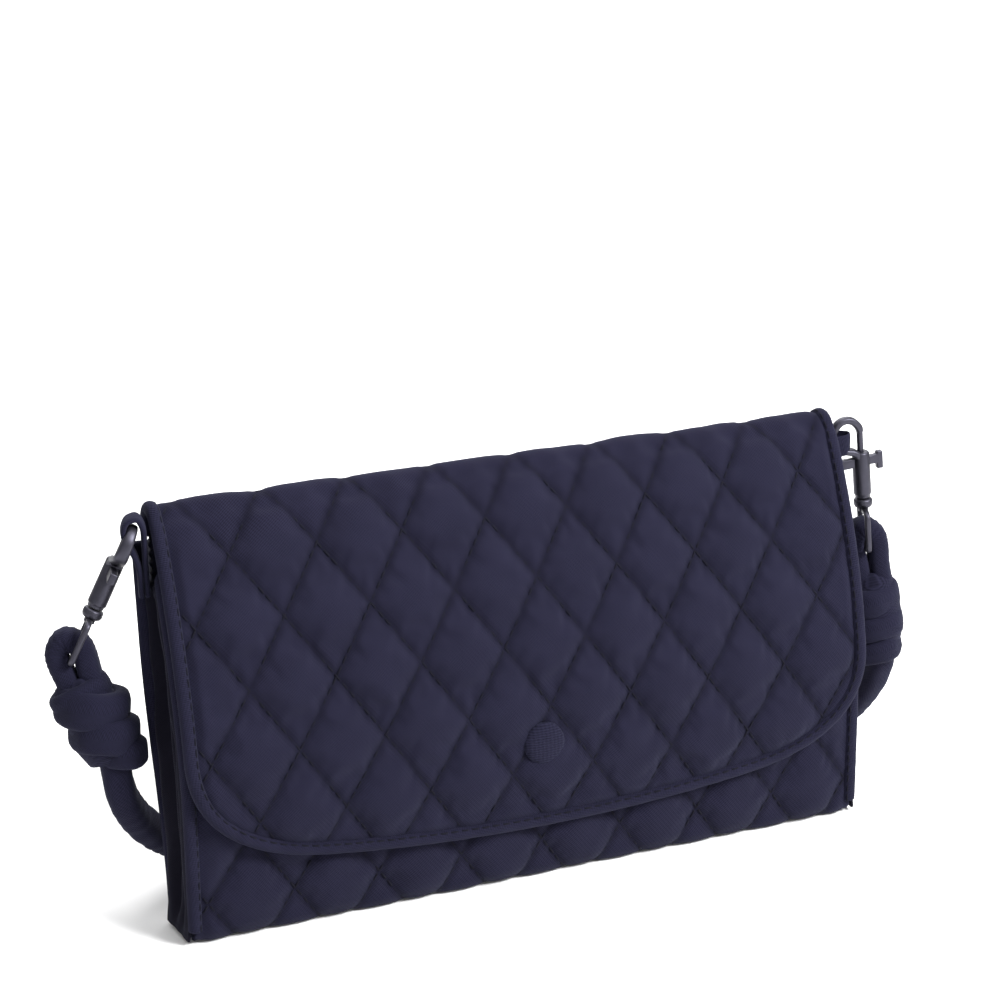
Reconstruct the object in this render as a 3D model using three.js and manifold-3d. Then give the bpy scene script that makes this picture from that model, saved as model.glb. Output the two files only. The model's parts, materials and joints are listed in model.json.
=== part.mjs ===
// A quilted flap-over wristlet wallet standing on its base, with its knotted strap clipped on.
// Millimetres. +X runs along the width, -Y is the front, +Z is up, and the origin is the
// centre of the flat underside.
import * as THREE from "three";
import { mergeVertices } from "three/addons/utils/BufferGeometryUtils.js";
import Module from "manifold-3d";

// Driving dimensions.
const PANEL_WIDTH = 204;
const FLAP_WIDTH = 206;
const BASE_DEPTH = 17;
const QUILT = 2.6; // thickness of a quilted panel
const CLOTH = 0.5; // thickness of a lining or pocket cloth
const GAP = 0.3; // clearance between neighbours
const FRONT_TOP = 102; // height of the front panel
const BELLY_HEIGHT = 30; // below this the front stands upright
const BELLY_CURVE = 0.0034; // how fast the front curves back above it
const BACK_SLOPE = 0.1; // how far the back leans for each millimetre of height
const BACK_TOP = 107; // length of the back panel up its slope
const FOLD = { y: 16.2, z: 112.5, radius: 4.6 }; // the flap's fold over the top
const BEAD = 3.8; // width of the sewn edge bead
const LINING_WIDTH = 196;
const POCKET_WIDTH = 188;
const ZIP_LENGTH = 180;
const TUBE = 9.5; // diameter of the stuffed strap
const FULL_TURN = 2 * Math.PI;

const wasm = await Module();
wasm.setup();

const NAVY = 0x23233a;
const NAVY_LINING = 0x2b2c48;
const GUNMETAL = 0x3a383f;
const BRASS = 0xb08d4a;

function finish(color, roughness, metalness = 0) {
  return new THREE.MeshStandardMaterial({ color, roughness, metalness });
}

// Solids: three.js geometries turned into manifolds, so that they can be cut and joined.
function solid(geometry) {
  const bare = geometry.index ? geometry.toNonIndexed() : geometry.clone();
  bare.deleteAttribute("normal");
  bare.deleteAttribute("uv");
  const merged = mergeVertices(bare, 1e-4);
  return new wasm.Manifold(
    new wasm.Mesh({
      numProp: 3,
      vertProperties: merged.attributes.position.array,
      triVerts: new Uint32Array(merged.index.array),
    }),
  );
}

function geometryOf(manifold) {
  const mesh = manifold.getMesh();
  const geometry = new THREE.BufferGeometry();
  geometry.setAttribute("position", new THREE.BufferAttribute(mesh.vertProperties, 3));
  geometry.setIndex(new THREE.BufferAttribute(mesh.triVerts, 1));
  const flat = geometry.toNonIndexed();
  flat.computeVertexNormals();
  return flat;
}

function joined(...geometries) {
  return geometries.map(solid).reduce((all, one) => all.add(one));
}

const ACROSS = new THREE.Vector3(1, 0, 0);
const BACKWARDS = new THREE.Vector3(0, 1, 0);
const UP = new THREE.Vector3(0, 0, 1);

function extruded(shape, depth) {
  return new THREE.ExtrudeGeometry(shape, { depth, bevelEnabled: false, curveSegments: 8 });
}

// A side view in (y, z), swept across the width.
function sweptAcross(points, width) {
  const turn = new THREE.Matrix4().makeBasis(BACKWARDS, UP, ACROSS);
  return extruded(new THREE.Shape(points), width)
    .translate(0, 0, -width / 2)
    .applyMatrix4(turn);
}

// A front view in (x, z), swept through a depth centred on y.
function sweptBack(shape, depth, y = 0) {
  const turn = new THREE.Matrix4().makeBasis(ACROSS, UP, BACKWARDS.clone().negate());
  return extruded(shape, depth)
    .translate(0, 0, -depth / 2 - y)
    .applyMatrix4(turn);
}

function box(width, depth, height, x, y, z) {
  return new THREE.BoxGeometry(width, depth, height).translate(x, y, z);
}

function pin(radius, length, sides = 16) {
  return new THREE.CylinderGeometry(radius, radius, length, sides);
}

// The front face in side view: upright up to the belly, then curving back.
function frontPoint(z, outward) {
  const above = Math.max(z - BELLY_HEIGHT, 0);
  const y = -BASE_DEPTH / 2 - 0.5 + BELLY_CURVE * above * above;
  const tangent = new THREE.Vector2(2 * BELLY_CURVE * above, 1).normalize();
  return new THREE.Vector2(y - tangent.y * outward, z + tangent.x * outward);
}

function frontLine(low, high, outward, steps) {
  return Array.from({ length: steps + 1 }, (_, i) =>
    frontPoint(low + ((high - low) * i) / steps, outward),
  );
}

// A sheet that follows the front face between two distances outward from it.
function frontSheet(low, high, inner, outer) {
  return [...frontLine(low, high, outer, 14).reverse(), ...frontLine(low, high, inner, 14)];
}

// The fold at the top: an arc about the fold's axis, from the front round to the rear.
function foldArc(radius, frontAngle, rearAngle) {
  const curve = new THREE.EllipseCurve(FOLD.y, FOLD.z, radius, radius, frontAngle, rearAngle, true);
  return curve.getPoints(14);
}

// The flap in side view: down the front from the fold, between two depths in from its face.
function flapSheet(low, inner, outer) {
  const top = FOLD.z - 2;
  const outside = FLAP_FACE - outer;
  const inside = FLAP_FACE - inner;
  const leave = Math.PI - Math.atan(2 * BELLY_CURVE * (top - BELLY_HEIGHT));
  const rear = -1.25;
  return [
    ...frontLine(low, top, outside, 14),
    ...foldArc(FOLD.radius - outer, leave, rear),
    ...foldArc(FOLD.radius - inner, leave, rear).reverse(),
    ...frontLine(low, top, inside, 14).reverse(),
  ];
}
const FLAP_FACE = QUILT + CLOTH + 2 * GAP; // how far the flap's face stands off the front panel

// Front views of the panels, so that their corners are round.
function panelOutline(half, bottom, top, radius) {
  const shape = new THREE.Shape();
  shape.moveTo(-half, bottom);
  shape.lineTo(half, bottom);
  shape.lineTo(half, top - radius);
  shape.quadraticCurveTo(half, top, half - radius, top);
  shape.lineTo(radius - half, top);
  shape.quadraticCurveTo(-half, top, -half, top - radius);
  shape.closePath();
  return shape;
}

// The flap's lower edge dips a little in the middle and turns up in wide round corners.
function flapOutline(inset) {
  const half = FLAP_WIDTH / 2 - inset;
  const side = 54;
  const corner = { x: 64, z: 21.5 + inset };
  const middle = 17.5 + inset;
  const top = 140;
  const shape = new THREE.Shape();
  shape.moveTo(-half, top);
  shape.lineTo(-half, side);
  shape.bezierCurveTo(-half, 36, -half + 14, 24.5 + inset, -corner.x, corner.z);
  shape.quadraticCurveTo(-30, middle, 0, middle);
  shape.quadraticCurveTo(30, middle, corner.x, corner.z);
  shape.bezierCurveTo(half - 14, 24.5 + inset, half, 36, half, side);
  shape.lineTo(half, top);
  shape.closePath();
  return shape;
}

const EVERYTHING = 90; // a depth that passes right through the wallet

// Body panels.
function basePanel() {
  const corner = 0.8;
  const half = BASE_DEPTH / 2 - 0.2;
  return sweptAcross(
    [
      [corner - half, 0],
      [half - corner, 0],
      [half, corner],
      [half, QUILT],
      [-half, QUILT],
      [-half, corner],
    ].map(([y, z]) => new THREE.Vector2(y, z)),
    PANEL_WIDTH,
  );
}

// A flat sheet parallel to the back, between two depths in from the back's outer face.
const BACK_LEAN = Math.atan(BACK_SLOPE);
function backSheet(width, low, high, near, far) {
  const sheet = box(width, far - near, high - low, 0, -(near + far) / 2, (low + high) / 2);
  return sheet.rotateX(-BACK_LEAN).translate(0, BASE_DEPTH / 2, 0);
}
function backPlace(depth, height) {
  return new THREE.Vector3(0, -depth, height)
    .applyAxisAngle(ACROSS, -BACK_LEAN)
    .add(new THREE.Vector3(0, BASE_DEPTH / 2, 0));
}

const SEAM = QUILT + 0.7; // where the walls start, just above the base panel
const DEPTH = { lining: 2.9, tapeBack: 3.7, tapeFront: 4.6, divider: 5.3, pockets: 6.3 };
const ZIP_HEIGHT = 97;

function frontPanel() {
  const sheet = sweptAcross(frontSheet(SEAM, FRONT_TOP, -QUILT, 0), PANEL_WIDTH);
  const outline = panelOutline(PANEL_WIDTH / 2 - BEAD, 0, FRONT_TOP - BEAD, 3);
  return solid(sheet).intersect(solid(sweptBack(outline, EVERYTHING)));
}

function frontBinding() {
  const sheet = sweptAcross(frontSheet(SEAM, FRONT_TOP, -QUILT - 0.2, 0.1), PANEL_WIDTH);
  const outside = panelOutline(PANEL_WIDTH / 2, 0, FRONT_TOP, 4);
  const inside = panelOutline(PANEL_WIDTH / 2 - BEAD + GAP, -1, FRONT_TOP - BEAD + GAP, 3);
  return solid(sheet)
    .intersect(solid(sweptBack(outside, EVERYTHING)))
    .subtract(solid(sweptBack(inside, EVERYTHING)));
}

function frontLining() {
  const inner = QUILT + GAP + 0.2;
  return sweptAcross(frontSheet(SEAM + 1, FRONT_TOP - 3, -inner - CLOTH, -inner), LINING_WIDTH);
}

function flapPanel() {
  const sheet = solid(sweptAcross(flapSheet(12, QUILT, 0), FLAP_WIDTH));
  return sheet
    .intersect(solid(sweptBack(flapOutline(BEAD), EVERYTHING)))
    .subtract(solid(onSnap(pin(SNAP.socket + GAP, 20, 24), 0)));
}

function flapBinding() {
  const sheet = solid(sweptAcross(flapSheet(12, QUILT + 0.2, -0.4), FLAP_WIDTH));
  return sheet
    .intersect(solid(sweptBack(flapOutline(0), EVERYTHING)))
    .subtract(solid(sweptBack(flapOutline(BEAD - GAP), EVERYTHING)));
}

function flapLining() {
  const near = QUILT + GAP + 0.2;
  const sheet = solid(sweptAcross(flapSheet(12, near + CLOTH - 0.1, near), FLAP_WIDTH));
  return sheet
    .intersect(solid(sweptBack(flapOutline(BEAD), EVERYTHING)))
    .subtract(solid(onSnap(pin(SNAP.socket + GAP, 20, 24), 0)));
}

// The snap: its axis stands square to the front face at the snap's height.
const SNAP = { height: 42.5, cap: 6, socket: 4, bore: 2.3, nub: 1.8 };
function onSnap(geometry, outward) {
  const place = frontPoint(SNAP.height, outward);
  const lean = Math.atan(2 * BELLY_CURVE * (SNAP.height - BELLY_HEIGHT));
  return geometry.rotateX(-lean).translate(0, place.x, place.y);
}

// Each snap piece is a turned profile in (radius, distance outward), turned to face forwards.
function turnedSnap(profile) {
  const points = profile.map(([radius, outward]) => new THREE.Vector2(radius, outward));
  return onSnap(new THREE.LatheGeometry(points, 24).rotateX(Math.PI), 0);
}

function snapCap() {
  const back = FLAP_FACE + GAP;
  const rim = SNAP.cap;
  return turnedSnap([
    [0, back],
    [rim - 0.4, back],
    [rim, back + 0.7],
    [rim - 0.5, back + 1.5],
    [rim - 2, back + 2.1],
    [0, back + 2.4],
  ]);
}

function snapSocket() {
  const low = GAP + 0.9;
  const high = FLAP_FACE - GAP;
  return turnedSnap([
    [0, high - 0.4],
    [SNAP.bore, high - 0.4],
    [SNAP.bore, low],
    [SNAP.socket, low],
    [SNAP.socket, high],
    [0, high],
  ]);
}

function snapStud() {
  const plate = 0.8;
  return turnedSnap([
    [0, 0.3],
    [SNAP.socket - 0.3, 0.3],
    [SNAP.socket - 0.3, plate],
    [SNAP.nub - 0.3, plate],
    [SNAP.nub, 1.9],
    [SNAP.nub - 0.6, 2.6],
    [0, 2.6],
  ]);
}

function snapPost() {
  const face = -QUILT - CLOTH - 3 * GAP;
  return turnedSnap([
    [0, face - 0.6],
    [2.6, face - 0.6],
    [3, face],
    [0, face],
  ]);
}

// A pleated side wall: it folds out, in and out again between the front and the back.
function gusset(side) {
  const pleats = 4;
  const levels = 12;
  const low = SEAM;
  const high = 95;
  const cloth = 0.8;
  const rings = [];
  for (let i = 0; i <= levels; i += 1) {
    const z = low + ((high - low) * i) / levels;
    const front = frontPoint(z, -QUILT - 0.6).x + 0.4;
    const back = BASE_DEPTH / 2 + BACK_SLOPE * z - QUILT - 0.5;
    const bulge = 3.2 * Math.sin((Math.PI * (0.35 + z)) / (high + 25)) + 0.8;
    const line = Array.from({ length: pleats + 1 }, (_, k) => ({
      x: PANEL_WIDTH / 2 - 1.4 + (k % 2 ? bulge : 0) - (k === 2 ? 1.2 : 0),
      y: front + ((back - front) * k) / pleats,
    }));
    const outside = line.map(({ x, y }) => new THREE.Vector3(side * x, y, z));
    const inside = line.map(({ x, y }) => new THREE.Vector3(side * (x - cloth), y, z));
    rings.push(side > 0 ? [...outside, ...inside.reverse()] : [...inside, ...outside.reverse()]);
  }
  return loft(rings);
}

// A closed skin through a stack of rings that all have the same number of points.
function loft(rings) {
  const count = rings[0].length;
  const faces = [];
  for (let i = 0; i + 1 < rings.length; i += 1) {
    for (let k = 0; k < count; k += 1) {
      const next = (k + 1) % count;
      faces.push(i * count + k, i * count + next, (i + 1) * count + next);
      faces.push(i * count + k, (i + 1) * count + next, (i + 1) * count + k);
    }
  }
  const outline = rings[0].map((p) => new THREE.Vector2(p.x, p.y));
  const last = (rings.length - 1) * count;
  for (const [a, b, c] of THREE.ShapeUtils.triangulateShape(outline, [])) {
    faces.push(c, b, a);
    faces.push(last + a, last + b, last + c);
  }
  const geometry = new THREE.BufferGeometry().setFromPoints(rings.flat());
  geometry.setIndex(faces);
  return geometryOf(solid(geometry));
}

// The zip: a comb of teeth above its two tapes, a stop at each end, a slider and its pull.
const CHAIN = { width: 2.2, height: 1.5, pitch: 3, low: ZIP_HEIGHT + 1.5 };

function zipperTeeth() {
  const count = ZIP_LENGTH / CHAIN.pitch;
  const points = [new THREE.Vector2(-ZIP_LENGTH / 2, 0)];
  for (let i = 0; i < count; i += 1) {
    const x = -ZIP_LENGTH / 2 + i * CHAIN.pitch;
    points.push(
      new THREE.Vector2(x, CHAIN.height),
      new THREE.Vector2(x + CHAIN.pitch * 0.6, CHAIN.height),
      new THREE.Vector2(x + CHAIN.pitch * 0.6, CHAIN.height * 0.6),
      new THREE.Vector2(x + CHAIN.pitch, CHAIN.height * 0.6),
    );
  }
  points.push(new THREE.Vector2(ZIP_LENGTH / 2, 0));
  const chain = sweptBack(new THREE.Shape(points.reverse()), CHAIN.width);
  return onZip(chain, CHAIN.low);
}

function onZip(geometry, height) {
  const place = backPlace((DEPTH.tapeBack + DEPTH.tapeFront + 0.4) / 2, height);
  return geometry.rotateX(-BACK_LEAN).translate(0, place.y, place.z);
}

function zipperStop(side) {
  const x = side * (ZIP_LENGTH / 2 + 1.6);
  return onZip(box(2, CHAIN.width, 2, x, 0, 0.9), CHAIN.low);
}

const SLIDER_X = -76;
function zipperSlider() {
  const plate = box(9, 2.6, 1, SLIDER_X, 0, CHAIN.height + 0.8);
  const bridge = box(5, 1.4, 1.4, SLIDER_X, 0, CHAIN.height + 1.8);
  return geometryOf(joined(onZip(plate, CHAIN.low), onZip(bridge, CHAIN.low)));
}

function zipperPull() {
  const shape = new THREE.Shape();
  const half = 2.4;
  const top = ZIP_HEIGHT - 0.4;
  const bottom = ZIP_HEIGHT - 19;
  shape.moveTo(-half, top);
  shape.lineTo(-half, bottom + half);
  shape.quadraticCurveTo(-half, bottom, 0, bottom);
  shape.quadraticCurveTo(half, bottom, half, bottom + half);
  shape.lineTo(half, top);
  shape.closePath();
  const depth = DEPTH.pockets + 0.45;
  const tab = sweptBack(shape, 0.8, -depth).translate(SLIDER_X, 0, 0);
  return tab.rotateX(-BACK_LEAN).translate(0, BASE_DEPTH / 2, 0);
}

// A swivel snap hook about its own axis: the barrel's foot is at 0, the bow above it curves
// over towards -X, and the eye hangs below.
const BARREL = { radius: 2.7, height: 14.2, slotLow: 9.2, slotHigh: 13.2 };
const LEVER = (BARREL.slotLow + BARREL.slotHigh) / 2;
const BOW = { wire: 1.25, reach: 8.4, rise: 19.8 };
const EYE = { bar: 1.9, width: 12.4, top: -3.1, bottom: -16.1 };

function bowWire() {
  const radius = BOW.reach / 2;
  const path = new THREE.CurvePath();
  const v = (x, z) => new THREE.Vector3(x, 0, z);
  const points = [v(0, BARREL.height - 0.6), v(0, (BARREL.height + BOW.rise) / 2)];
  for (let i = 0; i <= 8; i += 1) {
    const angle = (Math.PI * i) / 8;
    points.push(v(radius * (Math.cos(angle) - 1), BOW.rise + radius * Math.sin(angle) * 1.1));
  }
  points.push(v(-BOW.reach, (BOW.rise + 15.4) / 2), v(-BOW.reach, 15.4));
  path.add(new THREE.CatmullRomCurve3(points));
  const section = new THREE.Shape().absarc(0, 0, BOW.wire, 0, FULL_TURN);
  return new THREE.ExtrudeGeometry(section, {
    steps: 22,
    curveSegments: 8,
    extrudePath: path.curves[0],
  });
}

function hookFrame() {
  const { radius, height, slotLow, slotHigh } = BARREL;
  const profile = [
    [0, 3.6],
    [2, 3.6],
    [2, 1.2],
    [1.4, 1.2],
    [1.4, 0],
    [radius - 0.1, 0],
    [radius + 0.1, height - 0.9],
    [radius - 0.5, height],
    [0, height],
  ].map(([r, z]) => new THREE.Vector2(r, z));
  const barrel = new THREE.LatheGeometry(profile, 20).rotateX(Math.PI / 2);
  const slot = box(8, 2.6, slotHigh - slotLow, 0, 0, LEVER);
  const pocket = pin(1.7, slotLow - 4.8 + 1).rotateX(Math.PI / 2);
  pocket.translate(0, 0, (slotLow + 4.8 + 1) / 2);
  return solid(barrel)
    .add(solid(bowWire()))
    .subtract(solid(slot))
    .subtract(solid(pocket))
    .subtract(solid(pin(0.7, 8).translate(0, 0, LEVER)));
}

// The gate lever: a gate arm under the bow's tip, a waist in the slot and a thumb tab outside.
function trigger() {
  const waist = 0.9;
  const arm = 1.45;
  const gateTip = -BOW.reach - 1.2;
  const thumb = { near: 4.7, far: 6.6, low: -3, high: 2.3 };
  const shape = new THREE.Shape();
  shape.moveTo(gateTip, -arm);
  shape.lineTo(-3.2, -arm);
  shape.lineTo(-3.2, -waist);
  shape.lineTo(3.2, -waist);
  shape.lineTo(thumb.near, -waist);
  shape.lineTo(thumb.near, thumb.low);
  shape.lineTo(thumb.far, thumb.low);
  shape.lineTo(thumb.far, thumb.high - 0.6);
  shape.lineTo(thumb.far - 0.6, thumb.high);
  shape.lineTo(thumb.near, waist);
  shape.lineTo(-3.2, waist);
  shape.lineTo(-3.2, arm);
  shape.lineTo(gateTip, arm + 0.4);
  shape.closePath();
  shape.holes.push(new THREE.Path().absarc(0, 0, 0.75, 0, FULL_TURN));
  return sweptBack(shape, 2).translate(0, 0, LEVER);
}

function triggerPin() {
  return pin(0.4, 5, 10).translate(0, 0, LEVER);
}

function triggerSpring() {
  class Helix extends THREE.Curve {
    getPoint(t, target = new THREE.Vector3()) {
      const angle = 3 * FULL_TURN * t;
      const low = 5.4;
      return target.set(1.1 * Math.cos(angle), 1.1 * Math.sin(angle), low + 3.9 * t);
    }
  }
  const section = new THREE.Shape().absarc(0, 0, 0.25, 0, FULL_TURN);
  return new THREE.ExtrudeGeometry(section, {
    steps: 30,
    curveSegments: 3,
    extrudePath: new Helix(),
  });
}

// The swivel eye: a headed post that turns in the barrel, a collar and a rectangular loop.
function hookEye() {
  const { bar, width, top, bottom } = EYE;
  const profile = [
    [0, top - 0.4],
    [2.1, top - 0.4],
    [2.6, top + 0.8],
    [2.6, -0.3],
    [1.05, -0.3],
    [1.05, 1.6],
    [1.6, 1.6],
    [1.6, 3.1],
    [0, 3.1],
  ].map(([r, z]) => new THREE.Vector2(r, z));
  const post = new THREE.LatheGeometry(profile, 20).rotateX(Math.PI / 2);
  const frame = new THREE.Shape();
  const half = width / 2;
  frame.moveTo(-half, bottom + 1);
  frame.lineTo(1 - half, bottom);
  frame.lineTo(half - 1, bottom);
  frame.lineTo(half, bottom + 1);
  frame.lineTo(half, top - 1.6);
  frame.lineTo(half - 2.4, top);
  frame.lineTo(2.4 - half, top);
  frame.lineTo(-half, top - 1.6);
  frame.closePath();
  const hole = new THREE.Path();
  hole.moveTo(bar - half, bottom + bar);
  hole.lineTo(bar - half, top - 2.6);
  hole.lineTo(3.4 - half, top - bar);
  hole.lineTo(half - 3.4, top - bar);
  hole.lineTo(half - bar, top - 2.6);
  hole.lineTo(half - bar, bottom + bar);
  hole.closePath();
  frame.holes.push(hole);
  return joined(post, sweptBack(frame, bar).rotateZ(Math.PI / 2));
}

// The strap's knotted end, about the eye's lower bar: a bight through the eye, and three wraps.
// It is a stack of tube-thick wraps; drop is the distance from the bar to the knot's middle.
function strapKnot(lean, drop) {
  const wraps = 3;
  const body = 10.2;
  const waist = 9;
  const high = (wraps * TUBE) / 2;
  const profile = [new THREE.Vector2(0, -high)];
  for (let i = 0; i < wraps; i += 1) {
    const low = -high + i * TUBE;
    profile.push(new THREE.Vector2(i ? waist : body - 4, low));
    profile.push(new THREE.Vector2(body, low + TUBE * 0.3));
    profile.push(new THREE.Vector2(body, low + TUBE * 0.7));
  }
  profile.push(new THREE.Vector2(body - 4, high), new THREE.Vector2(0, high));
  const knot = new THREE.LatheGeometry(profile, 20).rotateX(Math.PI / 2).translate(0, 0, -drop);
  const bight = strapBight();
  const middle = EYE.bottom + EYE.bar / 2;
  knot.rotateY(lean);
  return joined(knot, bight.rotateY(lean)).translate([0, 0, middle]);
}

function strapBight() {
  const tube = 3.95;
  const over = EYE.bar / 2 + GAP + tube + 0.1;
  const points = [];
  for (let i = 0; i <= 8; i += 1) {
    const angle = (Math.PI * i) / 8;
    points.push(new THREE.Vector3(over * Math.cos(angle), 0, over * Math.sin(angle)));
  }
  points.unshift(new THREE.Vector3(over - 0.8, 0, -10), new THREE.Vector3(over, 0, -4));
  points.push(new THREE.Vector3(-over, 0, -4), new THREE.Vector3(0.8 - over, 0, -10));
  const section = new THREE.Shape().absarc(0, 0, tube, 0, FULL_TURN);
  return new THREE.ExtrudeGeometry(section, {
    steps: 14,
    curveSegments: 6,
    extrudePath: new THREE.CatmullRomCurve3(points),
  });
}

// Where each hook hangs: its barrel's foot, the way its axis leans, and the turn of the bow
// and of the eye about that axis.
const HOOKS = {
  left: {
    foot: [-116.1, 17.8, 90.4],
    up: [0.45, -0.03, 0.8925],
    bowTurn: 1.3,
    eyeTurn: -0.35,
    knotLean: -0.75,
    drop: 18.8,
  },
  right: {
    foot: [115.2, 14, 89.7],
    up: [-0.083, 0.02, 0.996],
    bowTurn: -0.14,
    eyeTurn: -0.35,
    knotLean: -0.1,
    drop: 21.5,
  },
};

function hookGroup(place, turn) {
  const group = new THREE.Group();
  const up = new THREE.Vector3(...place.up).normalize();
  group.quaternion.setFromUnitVectors(UP, up);
  group.quaternion.multiply(new THREE.Quaternion().setFromAxisAngle(UP, turn));
  group.position.set(...place.foot);
  return group;
}

// The middle of the bow's wire at its highest, where the hook hangs on its tab.
function bowTop(place) {
  const top = new THREE.Vector3(-BOW.reach / 2, 0, BOW.rise + 1.1 * (BOW.reach / 2));
  const group = hookGroup(place, place.bowTurn);
  return top.applyQuaternion(group.quaternion).add(group.position);
}

// The left tab is a standing loop round the top of the bow, on a stem that comes up from the
// side seam. Its shape is drawn about the wire.
function tabLeft(place) {
  const hole = 1.75;
  const round = 2.5;
  const stem = { far: 1.2, foot: -14, neck: -8 };
  const shape = new THREE.Shape();
  shape.moveTo(round, stem.foot);
  shape.lineTo(round, 0);
  shape.absarc(0, 0, round, 0, Math.PI, false);
  shape.lineTo(-round, -2.6);
  shape.lineTo(stem.far, stem.neck);
  shape.lineTo(stem.far, stem.foot);
  shape.closePath();
  const inner = new THREE.Path();
  inner.absarc(0, 0, hole, 0, Math.PI, false);
  inner.lineTo(-hole, -2.4);
  inner.lineTo(hole - 0.6, stem.neck + 1.6);
  inner.lineTo(hole, stem.neck + 1.6);
  inner.closePath();
  shape.holes.push(inner);
  const wire = bowTop(place);
  return sweptBack(shape, 3)
    .rotateZ(place.bowTurn - Math.PI / 2)
    .translate(wire.x, wire.y, wire.z);
}

// The right tab is a hairpin lying round the bow's tip, with its hole running up and down.
function tabRight() {
  const middle = 15.4;
  const half = 2.9;
  const ends = { near: 102.4, far: 111 };
  const cloth = 1;
  const outline = new THREE.Shape();
  outline.moveTo(ends.near, middle - half);
  outline.lineTo(ends.far - half, middle - half);
  outline.absarc(ends.far - half, middle, half, -Math.PI / 2, Math.PI / 2, false);
  outline.lineTo(ends.near, middle + half);
  outline.closePath();
  const hole = new THREE.Path();
  const inner = half - cloth;
  hole.moveTo(ends.near + cloth, middle - inner);
  hole.lineTo(ends.far - half, middle - inner);
  hole.absarc(ends.far - half, middle, inner, -Math.PI / 2, Math.PI / 2, false);
  hole.lineTo(ends.near + cloth, middle + inner);
  hole.closePath();
  outline.holes.push(hole);
  const loop = solid(extruded(outline, 12).translate(0, 0, 98.6));
  const overFlap = box(2, 20, 10, 102.5, middle, 111.7);
  const belowGate = box(12, 20, 6, 109.6, middle, 101);
  return loop.subtract(solid(overFlap)).subtract(solid(belowGate));
}

// The strap between the knots: down behind the wallet from each knot, then along the surface.
const STRAP_LOW = TUBE / 2 + 0.15; // height of the strap's centreline where it lies
const STRAP_LEFT = [
  [-114.3, 10.9, 43],
  [-113.1, 11.5, 38],
  [-110.6, 13.8, 32.6],
  [-107.3, 17, 27.4],
  [-102.8, 20.6, 22],
  [-97, 24.4, 16.8],
  [-89.5, 28.8, 11.6],
  [-81, 33.2, 7.6],
  [-71.5, 37.6, STRAP_LOW + 0.3],
];
const STRAP_RIGHT = [
  [122.6, 13.6, 37],
  [122.2, 16.6, 30.4],
  [120.6, 21.2, 23],
  [117.4, 26.6, 15.6],
  [112, 32, 8.8],
  [103.6, 37, STRAP_LOW + 0.3],
];
const STRAP_REST = [
  [-69.8, 38.3, STRAP_LOW],
  [-60, 42, STRAP_LOW],
  [-48, 45.8, STRAP_LOW],
  [-35, 49, STRAP_LOW],
  [-22, 51.4, STRAP_LOW],
  [-10, 52.8, STRAP_LOW],
  [0, 53.4, STRAP_LOW],
  [15, 53.3, STRAP_LOW],
  [31, 52.6, STRAP_LOW],
  [47, 51.2, STRAP_LOW],
  [63, 48.8, STRAP_LOW],
  [78, 45.6, STRAP_LOW],
  [92, 41.6, STRAP_LOW],
  [101.8, 37.8, STRAP_LOW],
];

function strapRun(route) {
  const path = new THREE.CatmullRomCurve3(route.map((p) => new THREE.Vector3(...p)));
  const section = new THREE.Shape().absarc(0, 0, TUBE / 2, 0, FULL_TURN);
  const steps = 4 * route.length - 4;
  return new THREE.ExtrudeGeometry(section, { steps, curveSegments: 5, extrudePath: path });
}

// Assembly.
const wallet = new THREE.Group();

function add(name, made, material, parent = wallet) {
  const geometry = made.isBufferGeometry ? made : geometryOf(made);
  const mesh = new THREE.Mesh(geometry, material);
  mesh.name = name;
  parent.add(mesh);
  return mesh;
}

const quilted = () => finish(NAVY, 0.95);
const lining = () => finish(NAVY_LINING, 0.9);
const metal = () => finish(GUNMETAL, 0.45, 0.9);
const brass = () => finish(BRASS, 0.35, 1);

add("base_panel", basePanel(), quilted());
add("back_panel", backSheet(PANEL_WIDTH, SEAM, BACK_TOP, 0, QUILT), quilted());
add(
  "back_lining",
  backSheet(LINING_WIDTH, SEAM + 1, ZIP_HEIGHT, DEPTH.lining, DEPTH.lining + CLOTH),
  lining(),
);
add(
  "divider_panel",
  backSheet(LINING_WIDTH, SEAM + 1, ZIP_HEIGHT, DEPTH.divider, DEPTH.divider + 0.7),
  lining(),
);
[
  ["card_pocket_upper", 74],
  ["card_pocket_middle", 62],
  ["card_pocket_lower", 50],
].forEach(([name, height], tier) => {
  const near = DEPTH.pockets + tier * (CLOTH + GAP);
  add(name, backSheet(POCKET_WIDTH, SEAM + 2, height, near, near + CLOTH), lining());
});

add("front_panel", frontPanel(), quilted());
add("front_binding", frontBinding(), quilted());
add("front_lining", frontLining(), lining());
add("flap_panel", flapPanel(), quilted());
add("flap_binding", flapBinding(), quilted());
add("flap_lining", flapLining(), lining());
add("gusset_left", gusset(-1), quilted());
add("gusset_right", gusset(1), quilted());

add("snap_cap", snapCap(), quilted());
add("snap_socket", snapSocket(), metal());
add("snap_stud", snapStud(), metal());
add("snap_post", snapPost(), metal());

const tapeLow = ZIP_HEIGHT - 8;
const tapeTop = ZIP_HEIGHT + 1.2;
for (const [name, near] of [
  ["zipper_tape_back", DEPTH.tapeBack],
  ["zipper_tape_front", DEPTH.tapeFront],
]) {
  add(name, backSheet(ZIP_LENGTH + 6, tapeLow, tapeTop, near, near + 0.4), lining());
}
add("zipper_teeth", zipperTeeth(), brass());
add("zipper_stop_left", zipperStop(-1), brass());
add("zipper_stop_right", zipperStop(1), brass());
add("zipper_slider", zipperSlider(), brass());
add("zipper_pull", zipperPull(), brass());

add("tab_left", tabLeft(HOOKS.left), quilted());
add("tab_right", tabRight(), quilted());

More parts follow.
